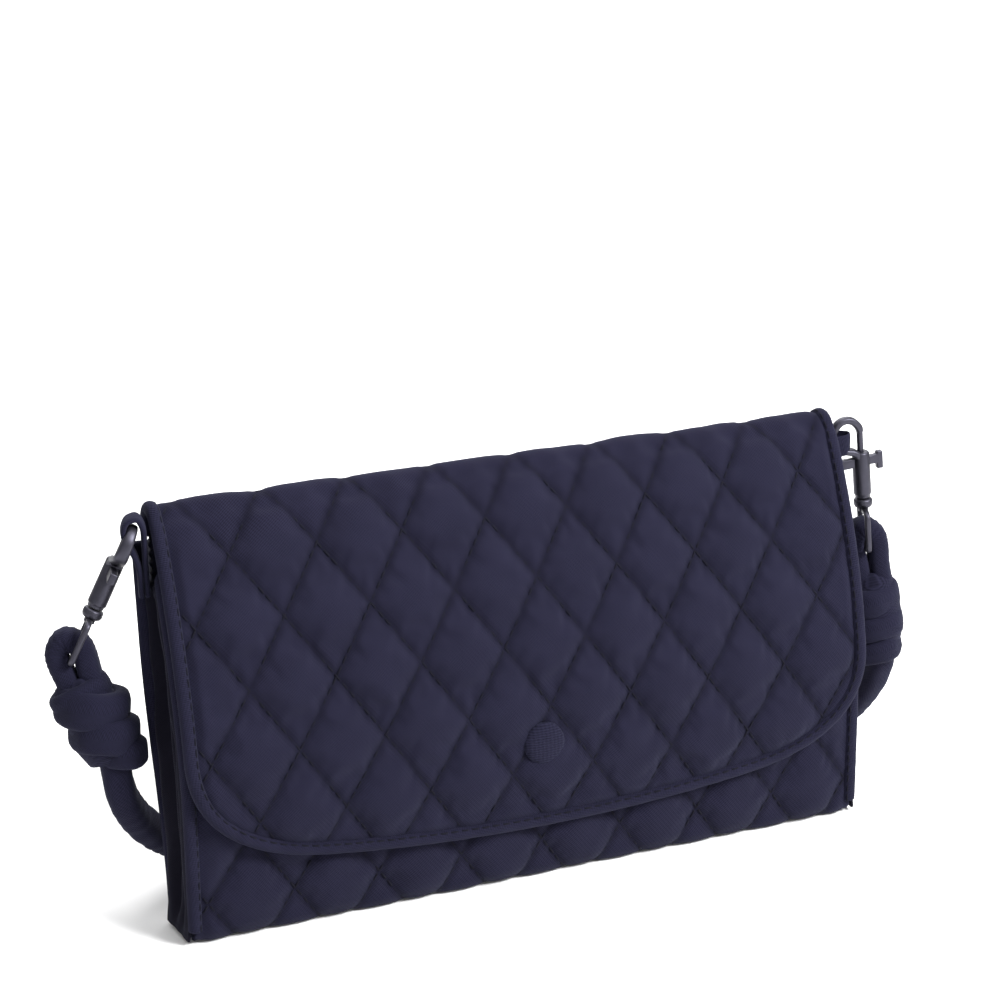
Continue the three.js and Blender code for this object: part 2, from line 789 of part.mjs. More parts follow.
for (const [side, place] of Object.entries(HOOKS)) {
  const hook = hookGroup(place, place.bowTurn);
  const eye = hookGroup(place, place.eyeTurn);
  add(`hook_frame_${side}`, hookFrame(), metal(), hook);
  add(`trigger_${side}`, trigger(), metal(), hook);
  add(`trigger_pin_${side}`, triggerPin(), metal(), hook);
  add(`trigger_spring_${side}`, triggerSpring(), metal(), hook);
  add(`hook_eye_${side}`, hookEye(), metal(), eye);
  add(`strap_knot_${side}`, strapKnot(place.knotLean, place.drop), quilted(), eye);
  wallet.add(hook, eye);
}

add("strap_run_left", strapRun(STRAP_LEFT), quilted());
add("strap_run_right", strapRun(STRAP_RIGHT), quilted());
add("strap_rest", strapRun(STRAP_REST), quilted());

export default wallet;
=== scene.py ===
import json
import math

import bpy
import numpy as np
from mathutils import Matrix, Quaternion, Vector

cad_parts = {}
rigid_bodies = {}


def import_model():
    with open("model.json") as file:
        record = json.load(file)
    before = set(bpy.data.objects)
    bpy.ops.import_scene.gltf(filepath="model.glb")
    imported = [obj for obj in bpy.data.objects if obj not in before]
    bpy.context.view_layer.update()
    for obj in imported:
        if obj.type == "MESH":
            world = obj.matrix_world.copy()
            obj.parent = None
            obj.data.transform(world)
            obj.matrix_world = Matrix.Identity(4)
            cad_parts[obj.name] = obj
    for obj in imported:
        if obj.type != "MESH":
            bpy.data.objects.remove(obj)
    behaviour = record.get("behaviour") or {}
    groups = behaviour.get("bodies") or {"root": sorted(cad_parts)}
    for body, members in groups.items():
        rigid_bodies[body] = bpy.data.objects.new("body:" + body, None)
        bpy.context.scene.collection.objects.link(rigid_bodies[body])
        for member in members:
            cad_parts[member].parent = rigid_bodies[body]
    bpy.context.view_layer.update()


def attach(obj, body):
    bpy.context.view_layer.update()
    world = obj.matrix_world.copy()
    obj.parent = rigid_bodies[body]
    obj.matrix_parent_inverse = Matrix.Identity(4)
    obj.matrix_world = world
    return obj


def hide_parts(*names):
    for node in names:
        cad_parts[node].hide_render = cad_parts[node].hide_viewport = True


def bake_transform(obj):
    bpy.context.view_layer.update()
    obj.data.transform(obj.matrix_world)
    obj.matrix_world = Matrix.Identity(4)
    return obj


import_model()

MM = 0.001
SEAM_STITCHES = 7  # stitches along one side of a diamond

# The wallet's driving sizes, in millimetres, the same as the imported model's.
PANEL_HALF = 102.4
FLAP_HALF = 102.5
FLAP_MIDDLE = 0.6
CORNER = 3.5
FLOOR_GAP = 0.15
QUILT = 2.6
BEAD = 3.8
FRONT_TOP = 102.0
FRONT_FACE = -9.0
BELLY_HEIGHT = 30.0
BELLY_CURVE = 0.0034
BACK_FOOT = 8.5
BACK_SLOPE = 0.1
BACK_TOP = 107.0
FLAP_FACE = 3.7
FOLD_Y, FOLD_Z, FOLD_RADIUS = 16.2, 112.5, 4.6
FOLD_REAR = -1.25
TUBE = 9.5

# The quilting: diamonds this wide and twice this tall, and a crossing (x, s) on each panel.
DIAMOND_WIDTH = 24.4
DIAMOND_HALF_HEIGHT = 18.07
FLAP_CROSSING = (2.9, 52.7)
FRONT_CROSSING = (0.85, 11.8)
CELLS = 14
PUFF = 1.45
SINK = 0.6  # how deep the seams lie, and above that PUFF is how high the diamonds rise
SNAP_HEIGHT = 42.5


# ---------------------------------------------------------------- surfaces

class Surface:
    """A surface with a side view in (y, z), swept along x and measured by its length s."""

    def __init__(self, y, z, outward=1, start=0.0):
        self.y, self.z = np.asarray(y, float), np.asarray(z, float)
        step = np.hypot(np.diff(self.y), np.diff(self.z))
        self.s = start + np.concatenate([[0.0], np.cumsum(step)])
        self.low, self.high = self.s[0], self.s[-1]
        ty, tz = np.gradient(self.y, self.s), np.gradient(self.z, self.s)
        size = np.hypot(ty, tz)
        self.ny, self.nz = -tz / size * outward, ty / size * outward

    def normal(self, s):
        ny, nz = np.interp(s, self.s, self.ny), np.interp(s, self.s, self.nz)
        return np.stack([np.zeros_like(ny), ny, nz], -1)

    def at(self, x, s, lift=0.0):
        x, s, lift = np.broadcast_arrays(x, s, lift)
        base = np.stack([x, np.interp(s, self.s, self.y), np.interp(s, self.s, self.z)], -1)
        return base + self.normal(s) * lift[..., None]

    def s_at_height(self, height):
        """The length at a height on the upright part, above the bottom corner."""
        up = self.s > 0
        return float(np.interp(height, self.z[up], self.s[up]))


def front_line(z, outward):
    above = np.maximum(z - BELLY_HEIGHT, 0.0)
    y = FRONT_FACE + BELLY_CURVE * above * above
    slope = 2 * BELLY_CURVE * above
    size = np.hypot(slope, 1.0)
    return y - outward / size, z + outward * slope / size


def flap_surface():
    top = FOLD_Z - 2
    y, z = front_line(np.linspace(0, top, 160), FLAP_FACE)
    leave = math.pi - math.atan(2 * BELLY_CURVE * (top - BELLY_HEIGHT))
    angle = np.linspace(leave, FOLD_REAR, 40)
    y = np.concatenate([y, FOLD_Y + FOLD_RADIUS * np.cos(angle)])
    z = np.concatenate([z, FOLD_Z + FOLD_RADIUS * np.sin(angle)])
    return Surface(y, z)


def rounded_bottom(side, inset, turn):
    """The bottom of a face: flat from just past the middle, then round the corner."""
    centre = side * inset
    angle = np.linspace(0, turn, 12)[1:]
    y = np.concatenate([np.linspace(-1.5 * side, centre, 14), centre + side * CORNER * np.sin(angle)])
    z = np.concatenate([np.zeros(14), CORNER * (1 - np.cos(angle))])
    return y, z + FLOOR_GAP


def front_surface():
    y, z = rounded_bottom(-1, -FRONT_FACE - CORNER, math.pi / 2)
    up_y, up_z = front_line(np.linspace(z[-1] + 0.5, FRONT_TOP, 120), 0.0)
    start = z[-1] - (1.5 - FRONT_FACE - CORNER) - CORNER * math.pi / 2
    return Surface(np.concatenate([y, up_y]), np.concatenate([z, up_z]), start=start)


def back_surface():
    lean = math.atan(BACK_SLOPE)
    inset = BACK_FOOT + BACK_SLOPE * (CORNER + FLOOR_GAP) - CORNER / math.cos(lean)
    y, z = rounded_bottom(1, inset, math.pi / 2 - lean)
    up_z = np.linspace(z[-1] + 0.5, BACK_TOP, 60)
    start = z[-1] - (1.5 + inset) - CORNER * (math.pi / 2 - lean)
    up_y = BACK_FOOT + BACK_SLOPE * up_z
    return Surface(np.concatenate([y, up_y]), np.concatenate([z, up_z]), outward=-1, start=start)


FLAP, FRONT, BACK = flap_surface(), front_surface(), back_surface()


# ---------------------------------------------------------------- mesh helpers

def make_object(name, vertices, faces, uv=None, smooth=True):
    """A mesh object from vertices in millimetres, with one uv (also in millimetres) a vertex."""
    mesh = bpy.data.meshes.new(name)
    mesh.from_pydata([tuple(v) for v in np.asarray(vertices, float) * MM], [], [tuple(f) for f in faces])
    if uv is not None:
        layer = mesh.uv_layers.new(name="UVMap")
        index = np.zeros(len(mesh.loops), np.int32)
        mesh.loops.foreach_get("vertex_index", index)
        layer.data.foreach_set("uv", np.asarray(uv, np.float32)[index].ravel())
    mesh.polygons.foreach_set("use_smooth", [smooth] * len(mesh.polygons))
    mesh.validate()
    mesh.update()
    obj = bpy.data.objects.new(name, mesh)
    bpy.context.scene.collection.objects.link(obj)
    return obj


def run_length(points):
    """How far along a line of points each one is."""
    return np.concatenate([[0], np.cumsum(np.linalg.norm(np.diff(points, axis=0), axis=1))])


def ring_faces(count, sides, closed=False):
    """Faces joining rings of points in a row, with capped ends or closed into a loop."""
    faces = []
    for k in range(count if closed else count - 1):
        low, high = k * sides, (k + 1) % count * sides
        for m in range(sides):
            n = (m + 1) % sides
            faces.append((low + m, low + n, high + n, high + m))
    if not closed:
        faces.append(tuple(range(sides - 1, -1, -1)))
        faces.append(tuple(range((count - 1) * sides, count * sides)))
    return faces


def subdivide(obj):
    modifier = obj.modifiers.new("smooth", "SUBSURF")
    modifier.levels = modifier.render_levels = 1
    return apply_modifiers(obj)


def apply_modifiers(obj):
    graph = bpy.context.evaluated_depsgraph_get()
    mesh = bpy.data.meshes.new_from_object(obj.evaluated_get(graph))
    obj.modifiers.clear()
    obj.data = mesh
    return obj


def coordinates(obj):
    co = np.zeros(len(obj.data.vertices) * 3, np.float32)
    obj.data.vertices.foreach_get("co", co)
    return co.reshape(-1, 3).astype(float)


def set_coordinates(obj, co):
    obj.data.vertices.foreach_set("co", np.asarray(co, np.float32).ravel())
    obj.data.update()


def open_edges(faces):
    """The directed edges that only one face uses."""
    directed = set()
    for face in faces:
        for a, b in zip(face, face[1:] + face[:1]):
            directed.add((a, b))
    return [(a, b) for a, b in directed if (b, a) not in directed]


def thickened(outer, inner, faces):
    """Vertices and faces of the closed solid between two copies of one patch."""
    count = len(outer)
    closed = list(faces) + [[count + v for v in reversed(face)] for face in faces]
    closed += [[b, a, count + a, count + b] for a, b in open_edges(faces)]
    return np.concatenate([outer, inner]), closed


def smooth_step(t):
    t = np.clip(t, 0, 1)
    return t * t * (3 - 2 * t)


def ripple(u, v, scale, seed=0.0):
    """A smooth wandering value between about -1 and 1, the same on every run."""
    u, v = u / scale + seed, v / scale - seed
    return (np.sin(1.7 * u + 2.3 * np.sin(0.9 * v)) + np.sin(2.1 * v + 1.9 * np.sin(1.1 * u))) / 2


# ---------------------------------------------------------------- quilting

def bezier(p0, p1, p2, p3, steps):
    t = np.linspace(0, 1, steps)[:, None]
    p0, p1, p2, p3 = (np.array(p, float) for p in (p0, p1, p2, p3))
    return (1 - t) ** 3 * p0 + 3 * (1 - t) ** 2 * t * p1 + 3 * (1 - t) * t * t * p2 + t ** 3 * p3


def flap_edge_points(inset):
    """The flap's outline in (x, z) from the left side, along the bottom and up the right side."""
    half, side, middle = FLAP_HALF - inset, 54.0, 17.5 + inset
    corner_x, corner_z, mid_z = 64.0, 21.5 + inset, 24.5 + inset
    low = bezier((-half, side), (-half, 36), (14 - half, mid_z), (-corner_x, corner_z), 26)
    dip = bezier((-corner_x, corner_z), (-41, middle + 1), (-20, middle), (0, middle), 26)
    left = np.concatenate([low, dip[1:]])
    right = left[::-1][1:] * [-1, 1]
    return np.concatenate([left, right])


def in_flap(x, s, inset):
    """How far (x, s) is inside the flap's outline drawn that much smaller, at least roughly."""
    x = x - FLAP_MIDDLE
    edge = flap_edge_points(inset)
    bottom = np.interp(x, edge[:, 0], edge[:, 1])
    z = np.where(s < 60, np.interp(s, FLAP.s, FLAP.z), s)
    distance = np.full(x.shape, 1e9)
    for a, b in zip(edge[:-1], edge[1:]):
        ab = b - a
        t = np.clip(((x - a[0]) * ab[0] + (z - a[1]) * ab[1]) / (ab @ ab), 0, 1)
        distance = np.minimum(distance, np.hypot(x - a[0] - t * ab[0], z - a[1] - t * ab[1]))
    half = FLAP_HALF - inset
    distance = np.minimum(distance, np.where(z > 54, np.abs(half - np.abs(x)), 1e9))
    outside = (np.abs(x) > half) | (z < bottom)
    return np.where(outside, -distance, distance)


def in_front(x, s, inset):
    return np.minimum(PANEL_HALF - inset - np.abs(x), FRONT.high - inset - s)


def in_back(x, s, inset):
    return np.minimum(PANEL_HALF - inset - np.abs(x), BACK.high + 2 - s)


def lattice(surface, crossing, half, inside):
    """Grid points along the quilting's two directions, kept where inside() is positive."""
    low, high = surface.low, surface.high
    cells = CELLS
    reach = math.ceil((half / DIAMOND_WIDTH + (high - low) / DIAMOND_HALF_HEIGHT + 2) * cells)
    i, j = np.meshgrid(np.arange(-reach, reach + 1), np.arange(-reach, reach + 1), indexing="ij")
    x = (i + j) / (2 * cells) * DIAMOND_WIDTH + crossing[0]
    s = (j - i) / cells * DIAMOND_HALF_HEIGHT + crossing[1]
    margin = DIAMOND_HALF_HEIGHT / cells
    near = (np.abs(x) < half + 3) & (s > low - margin) & (s < high + margin)
    keep = near.copy()
    keep[near] = inside(x[near], np.clip(s[near], low, high)) > 0
    s = np.clip(s, low, high)
    number = np.full(keep.shape, -1)
    number[keep] = np.arange(keep.sum())
    quad = keep[:-1, :-1] & keep[1:, :-1] & keep[1:, 1:] & keep[:-1, 1:]
    a, b = np.nonzero(quad)
    faces = np.stack([number[a, b], number[a + 1, b], number[a + 1, b + 1], number[a, b + 1]], 1)
    return x[keep], s[keep], i[keep] % cells, j[keep] % cells, faces


def inflate(obj, pinned, cap):
    """Cloth simulation: the sheet swells between its pinned seams and wrinkles a little."""
    scale, frames = 12.0, 20  # simulated larger than life, because cloth solves badly when small
    rest = coordinates(obj)
    set_coordinates(obj, rest * scale)
    group = obj.vertex_groups.new(name="pin")
    group.add([int(v) for v in np.nonzero(pinned)[0]], 1.0, "REPLACE")
    cloth = obj.modifiers.new("cloth", "CLOTH")
    cloth.settings.quality = 5
    cloth.settings.mass = 0.15
    cloth.settings.tension_stiffness = 12
    cloth.settings.compression_stiffness = 12
    cloth.settings.shear_stiffness = 6
    cloth.settings.bending_stiffness = 0.35
    cloth.settings.vertex_group_mass = "pin"
    cloth.settings.shrink_min = -0.045
    cloth.settings.use_pressure = True
    cloth.settings.uniform_pressure_force = 3.0
    cloth.settings.effector_weights.gravity = 0
    cloth.collision_settings.use_collision = False
    cloth.point_cache.frame_end = frames
    scene = bpy.context.scene
    for step in range(1, frames + 1):
        scene.frame_set(step)
    apply_modifiers(obj)
    scene.frame_set(1)
    obj.vertex_groups.clear()
    moved = coordinates(obj) / scale - rest
    length = np.linalg.norm(moved, axis=1, keepdims=True)
    limit = cap * MM
    moved *= np.minimum(1.0, limit / np.maximum(length, 1e-9))
    set_coordinates(obj, rest + moved)


def vertex_uv(obj):
    """Each vertex's own (x, s), read back from the mesh's uv layer."""
    mesh = obj.data
    index = np.zeros(len(mesh.loops), np.int32)
    mesh.loops.foreach_get("vertex_index", index)
    flat = np.zeros(len(mesh.loops) * 2, np.float32)
    mesh.uv_layers[0].data.foreach_get("uv", flat)
    uv = np.zeros((len(mesh.vertices), 2))
    uv[index] = flat.reshape(-1, 2)
    return uv


def puckers(x, s, crossing):
    """Small creases in the cloth: a dimple at each stitch of a seam, and soft wrinkles."""
    a = (x - crossing[0]) / DIAMOND_WIDTH - (s - crossing[1]) / (2 * DIAMOND_HALF_HEIGHT)
    b = (x - crossing[0]) / DIAMOND_WIDTH + (s - crossing[1]) / (2 * DIAMOND_HALF_HEIGHT)
    total = np.zeros_like(x)
    for across, along in ((a, b), (b, a)):
        away = np.abs(across - np.round(across)) * DIAMOND_WIDTH * 0.83
        phase = along * SEAM_STITCHES * 2 * math.pi + ripple(x, s, 11.0, 2.0)
        total += np.cos(phase) * np.exp(-((away - 1.0) / 1.3) ** 2) * (0.6 + 0.4 * ripple(x, s, 9.0, 7.0))
    return 0.10 * total + 0.13 * ripple(x, s, 4.1, 1.0) + 0.20 * ripple(x, s * 1.6, 8.3, 5.0)


def quilted_sheet(name, surface, crossing, half, inside, bead):
    """A quilted face: seams sunk below the surface, puffs between them, and a plain inside.

    The puffs fade out beside the edge bead, and where the cloth is drawn tight over a fold.
    """
    x, s, i, j, faces = lattice(surface, crossing, half, lambda x, s: inside(x, s, 1.2))
    if surface is BACK:
        faces = faces[:, ::-1]
    room = inside(x, s, bead)
    edge = smooth_step((room + 0.8) / 3.0)
    crown = np.sqrt(np.sin(np.pi * i / CELLS) * np.sin(np.pi * j / CELLS))
    lift = -SINK + PUFF * crown * edge * (1 + 0.12 * ripple(x, s, 17.0, 3.0))
    if surface is FLAP:
        taut = 1 - 0.6 * smooth_step((s - FLAP.s_at_height(106)) / 10)
        taut *= smooth_step((surface.high - 1 - s) / 7)
    else:
        taut = smooth_step((s - surface.low) / 14.0)
        if surface is BACK:
            taut *= smooth_step((surface.high - 5 - s) / 9)
    lift = np.where(s < 0, np.minimum(lift, 0.0), lift) * taut
    obj = make_object(name, surface.at(x, s, lift), faces.tolist(), np.stack([x, s], 1))
    inflate(obj, (i == 0) | (j == 0) | (room < 0.4) | (s < 4), 1.2)
    subdivide(obj)
    uv = vertex_uv(obj)
    x, s = uv[:, 0], uv[:, 1]
    fade = smooth_step(inside(x, s, bead) / 3.0) * smooth_step((s - 1) / 4.0)
    outer = coordinates(obj) / MM + surface.normal(s) * (puckers(x, s, crossing) * fade)[:, None]
    outer[:, 2] = np.maximum(outer[:, 2], FLOOR_GAP / 2)
    faces = [list(polygon.vertices) for polygon in obj.data.polygons]
    bpy.data.objects.remove(obj)
    vertices, closed = thickened(outer, surface.at(x, s, -QUILT), faces)
    return make_object(name, vertices, closed, np.tile(uv, (2, 1)))


# ---------------------------------------------------------------- stitches

def stitch_shape():
    """One stitch: a little thread hump, as points along, across and up, and its faces."""
    rings = [(-0.5, 0.35, -0.6), (-0.42, 0.9, 0.1), (-0.15, 1.0, 0.45), (0.15, 1.0, 0.45),
             (0.42, 0.9, 0.1), (0.5, 0.35, -0.6)]
    sides = 6
    points = []
    for along, size, up in rings:
        for k in range(sides):
            angle = 2 * math.pi * k / sides
            points.append((along, size * math.cos(angle), up + size * math.sin(angle)))
    return np.array(points), ring_faces(len(rings), sides)


STITCH_POINTS, STITCH_FACES = stitch_shape()
STITCH_LENGTH, STITCH_PITCH, THREAD = 2.4, 3.1, 0.27


def stitched_line(points, normals, collect):
    """Stitches along a line of points in millimetres, each added to a list as its own piece of points."""
    points = np.asarray(points, float)
    length = run_length(points)
    count = int(length[-1] / STITCH_PITCH)
    if count < 1:
        return
    pitch = length[-1] / count
    for n in range(count):
        ends = [(n + 0.5) * pitch + side * STITCH_LENGTH / 2 for side in (-1, 1)]
        a, b = (np.array([np.interp(e, length, points[:, k]) for k in range(3)]) for e in ends)
        middle = (n + 0.5) * pitch
        up = np.array([np.interp(middle, length, normals[:, k]) for k in range(3)])
        along = b - a
        along /= np.linalg.norm(along)
        up -= along * (up @ along)
        up /= np.linalg.norm(up)
        across = np.cross(up, along)
        p = STITCH_POINTS
        local = (p[:, :1] * STITCH_LENGTH * along + p[:, 1:2] * THREAD * across
                 + p[:, 2:] * THREAD * up)
        collect.append((a + b) / 2 + local)


def stitches_object(name, collect):
    count = len(STITCH_POINTS)
    faces = [tuple(v + k * count for v in face) for k in range(len(collect)) for face in STITCH_FACES]
    vertices = np.concatenate(collect)
    turn = np.tile(STITCH_POINTS[:, :2], (len(collect), 1))
    return make_object(name, vertices, faces, turn)


def quilting_stitches(surface, crossing, half, inside, bead, collect):
    """Both families of quilting seams, cut off where the edge bead begins."""
    for direction in (-1, 1):
        for line in range(-16, 17):
            s = np.linspace(max(surface.low, 0.5), surface.high, 400)
            slant = direction * (s - crossing[1]) / (2 * DIAMOND_HALF_HEIGHT)
            x = crossing[0] + (line + slant) * DIAMOND_WIDTH
            keep = (np.abs(x) < half) & (inside(x, s, bead) > 0)
            if keep.sum() < 8:
                continue
            x, s = x[keep], s[keep]
            stitched_line(surface.at(x, s, 0.10 - SINK), surface.normal(s), collect)


# ---------------------------------------------------------------- edge beads and tubes

def swept(name, path, frames, section):
    """A section swept along a path. frames gives (across, up) at each point of the path."""
    path = np.asarray(path, float)
    section = np.asarray(section, float)
    count, sides = len(path), len(section)
    across, up = frames
    vertices = (path[:, None, :] + section[None, :, :1] * across[:, None, :]
                + section[None, :, 1:] * up[:, None, :])
    uv = np.stack(np.meshgrid(run_length(path), run_length(section), indexing="ij"), -1).reshape(-1, 2)
    return make_object(name, vertices.reshape(-1, 3), ring_faces(count, sides), uv)


def resample(points, step):
    points = np.asarray(points, float)
    length = run_length(points)
    at = np.linspace(0, length[-1], max(2, int(length[-1] / step) + 1))
    return np.stack([np.interp(at, length, points[:, k]) for k in range(points.shape[1])], 1)


def rounded_section(low, high, inner, outer, radius, corner=4):
    """A rounded rectangle: across from inner to outer, and up from low to high."""
    points = []
    centres = [(outer - radius, high - radius, 0), (inner + radius, high - radius, 90),
               (inner + radius, low + radius, 180), (outer - radius, low + radius, 270)]
    for cx, cy, start in centres:
        for k in range(corner + 1):
            angle = math.radians(start + 90 * k / corner)
            points.append((cx + radius * math.cos(angle), cy + radius * math.sin(angle)))
    return points


def edge_bead(name, surface, outline, collect, seed, top_lift, low_lift=-2.8):
    """The sewn binding: a soft bead along an outline in (x, s), with a row of topstitching."""
    line = resample(outline, 1.1)
    x, s = line[:, 0], line[:, 1]
    normal = surface.normal(s)
    path = surface.at(x, s)
    along = np.gradient(path, axis=0)
    along /= np.linalg.norm(along, axis=1, keepdims=True)
    across = np.cross(along, normal)
    pucker = 0.12 * ripple(np.arange(len(line)) * 1.1, s, 2.4, seed)
    bead_section = rounded_section(low_lift, top_lift, -BEAD, 0.1, 1.75)
    obj = swept(name, path, (across, normal), bead_section)
    co = coordinates(obj) / MM
    sides = len(bead_section)
    ring = np.repeat(np.arange(len(line)), sides)
    section = np.tile(np.array(bead_section), (len(line), 1))
    top = smooth_step((section[:, 1] - low_lift) / (top_lift - low_lift))
    co += normal[ring] * (pucker[ring] * top)[:, None]
    set_coordinates(obj, co * MM)
    groove = surface.at(x, s, top_lift - 0.5) - across * (BEAD - 0.75)
    stitched_line(groove, normal, collect)
    return subdivide(obj)


def flap_outline(inset=0.0):
    """The flap's outline in (x, s): down the left side, along the bottom, up the right side."""
    edge = flap_edge_points(inset)
    half = FLAP_HALF - inset
    bottom = np.stack([edge[:, 0], np.interp(edge[:, 1], FLAP.z[:150], FLAP.s[:150])], 1)
    side = bottom[0, 1]
    up = np.linspace(FLAP.high, side, 60)[:-1]
    left = np.stack([np.full(len(up), -half), up], 1)
    right = left[::-1] * [-1, 1]
    return np.concatenate([left, bottom, right]) + [FLAP_MIDDLE, 0]


def front_outline():
    """The front's outline in (x, s): up the right side, over the top and down the left side."""
    radius, foot_height = 4.0, 4.0
    turn = np.linspace(0, math.pi / 2, 8)
    corner = zip(radius * (1 - np.cos(turn)), radius * (1 - np.sin(turn)))
    left = [(-PANEL_HALF, FRONT.s_at_height(foot_height))]
    left += [(dx - PANEL_HALF, FRONT.high - dy) for dx, dy in corner]
    return np.array(left + [(-x, s) for x, s in reversed(left)])[::-1]


# ---------------------------------------------------------------- materials

def node_tree(name):
    material = bpy.data.materials.new(name)
    material.use_nodes = True
    tree = material.node_tree
    return material, tree, tree.nodes["Principled BSDF"]


class Graph:
    """Short names for building a material's nodes."""

    def __init__(self, tree):
        self.tree = tree

    def add(self, kind, inputs=None, **settings):
        node = self.tree.nodes.new(kind)
        for key, value in settings.items():
            setattr(node, key, value)
        for key, value in (inputs or {}).items():
            if isinstance(value, bpy.types.NodeSocket):
                self.tree.links.new(value, node.inputs[key])
            else:
                node.inputs[key].default_value = value
        return node

    def math(self, operation, a, b=0.0):
        return self.add("ShaderNodeMath", {0: a, 1: b}, operation=operation).outputs[0]

    def mix(self, factor, a, b, blend="MIX"):
        node = self.add("ShaderNodeMix", data_type="RGBA", blend_type=blend)
        for socket, value in ((0, factor), (6, a), (7, b)):
            if isinstance(value, bpy.types.NodeSocket):
                self.tree.links.new(value, node.inputs[socket])
            else:
                node.inputs[socket].default_value = value
        return node.outputs[2]

    def noise(self, vector, scale, detail=3.0, roughness=0.55):
        node = self.add("ShaderNodeTexNoise", {"Vector": vector, "Scale": scale, "Detail": detail,
                                               "Roughness": roughness})
        return node.outputs["Fac"]

    def link(self, a, b):
        self.tree.links.new(a, b)


def painted_seam_shade(g, uv, crossing):
    """Painted shade for the quilting's valleys: from 0 on the quilting's seams to 1 a few millimetres away
    from them.
    """
    axis = g.add("ShaderNodeSeparateXYZ", {"Vector": uv})
    x = g.math("DIVIDE", g.math("SUBTRACT", axis.outputs[0], crossing[0]), DIAMOND_WIDTH)
    s = g.math("DIVIDE", g.math("SUBTRACT", axis.outputs[1], crossing[1]), 2 * DIAMOND_HALF_HEIGHT)
    nearest = g.math("MINIMUM", g.math("PINGPONG", g.math("SUBTRACT", x, s), 0.5),
                     g.math("PINGPONG", g.math("ADD", x, s), 0.5))
    reach = g.add("ShaderNodeMapRange", {"Value": nearest, "From Max": 0.10, "To Min": 0.35})
    return reach.outputs[0]


def woven(name, color, light, pitch=0.55, angle=0.9, bump=0.35, roughness=0.93, sheen=0.045, uneven=0.35,
          crossing=None):
    """Twill cloth: fine slanting ribs, broken into yarns, with a soft nap and uneven dye, and, given a
    crossing, painted shade along the quilting's seams.
    """
    material, tree, shader = node_tree(name)
    g = Graph(tree)
    uv = g.add("ShaderNodeUVMap", uv_map="UVMap").outputs[0]
    turned = g.add("ShaderNodeMapping", {"Vector": uv, "Rotation": (0, 0, angle)}).outputs[0]
    axis = g.add("ShaderNodeSeparateXYZ", {"Vector": turned})
    wander = g.math("MULTIPLY", g.noise(uv, 0.9, 2.0), 0.35)
    rib_phase = g.math("ADD", axis.outputs[0], wander)
    rib = g.math("SINE", g.math("MULTIPLY", rib_phase, 2 * math.pi / pitch))
    yarn = g.math("SINE", g.math("MULTIPLY", axis.outputs[1], 2 * math.pi / (pitch * 1.7)))
    weave = g.math("ADD", g.math("MULTIPLY", rib, 0.6), g.math("MULTIPLY", yarn, 0.25))
    nap = g.noise(uv, 3.5, 4.0, 0.7)
    height = g.math("ADD", weave, g.math("MULTIPLY", nap, 1.1))
    cloud = g.noise(uv, 0.07, 3.0)
    tone = g.math("ADD", g.math("MULTIPLY", height, 0.42), g.math("MULTIPLY", cloud, uneven))
    ramp = g.add("ShaderNodeMapRange", {"Value": tone, "From Min": -0.05, "From Max": 0.62})
    shade = ramp.outputs[0]
    # painted shade: the cloth's colour is darkened along the quilting's seams, where the valleys fall into
    # shade
    if crossing:
        shade = g.math("MULTIPLY", shade, painted_seam_shade(g, uv, crossing))
    g.link(g.mix(shade, (*color, 1), (*light, 1)), shader.inputs["Base Color"])
    g.link(g.add("ShaderNodeBump", {"Height": height, "Strength": bump, "Distance": 0.00016}).outputs[0],
           shader.inputs["Normal"])
    rough = g.add("ShaderNodeMapRange", {"Value": nap, "To Min": roughness - 0.08, "To Max": 1.0})
    g.link(rough.outputs[0], shader.inputs["Roughness"])
    shader.inputs["Sheen Weight"].default_value = sheen
    shader.inputs["Sheen Roughness"].default_value = 0.5
    shader.inputs["Sheen Tint"].default_value = (0.55, 0.58, 0.9, 1)
    shader.inputs["Specular IOR Level"].default_value = 0.1
    return material


NAVY = (0.0022, 0.0021, 0.0068)
NAVY_LIGHT = (0.0116, 0.0111, 0.0258)


def thread():
    material, tree, shader = node_tree("navy_thread")
    g = Graph(tree)
    uv = g.add("ShaderNodeUVMap", uv_map="UVMap").outputs[0]
    axis = g.add("ShaderNodeSeparateXYZ", {"Vector": uv})
    lengthwise = g.math("MULTIPLY", axis.outputs[0], 40.0)
    round_it = g.math("MULTIPLY", axis.outputs[1], 3.0)
    ply = g.math("SINE", g.math("ADD", lengthwise, round_it))
    shade = g.add("ShaderNodeMapRange", {"Value": ply, "From Min": -1.0})
    g.link(g.mix(shade.outputs[0], (0.001, 0.001, 0.003, 1), (0.006, 0.006, 0.014, 1)),
           shader.inputs["Base Color"])
    g.link(g.add("ShaderNodeBump", {"Height": ply, "Strength": 0.5, "Distance": 0.00005}).outputs[0],
           shader.inputs["Normal"])
    shader.inputs["Roughness"].default_value = 0.85
    shader.inputs["Specular IOR Level"].default_value = 0.15
    return material


def paint(obj, material):
    obj.data.materials.clear()
    obj.data.materials.append(material)
    return obj


# ---------------------------------------------------------------- camera, light and floor

def camera():
    """The view from in front and to the left, from a little above."""
    azimuth, elevation, roll = math.radians(-23.5), math.radians(18.6), math.radians(-0.44)
    data = bpy.data.cameras.new("camera")
    data.lens = 97.3
    data.sensor_width = 36
    data.clip_start = 0.05
    obj = bpy.data.objects.new("camera", data)
    obj.location = (-0.2835, -0.6351, 0.3434)
    turn = Matrix.Rotation(azimuth, 4, "Z") @ Matrix.Rotation(math.pi / 2 - elevation, 4, "X")
    obj.rotation_euler = (turn @ Matrix.Rotation(roll, 4, "Z")).to_euler()
    bpy.context.scene.collection.objects.link(obj)
    bpy.context.scene.camera = obj


def area_light(name, location, target, size, power):
    data = bpy.data.lights.new(name, "AREA")
    data.shape = "DISK"
    data.size = size
    data.energy = power
    obj = bpy.data.objects.new(name, data)
    obj.location = location
    obj.rotation_euler = (Vector(target) - Vector(location)).to_track_quat("-Z", "Y").to_euler()
    bpy.context.scene.collection.objects.link(obj)


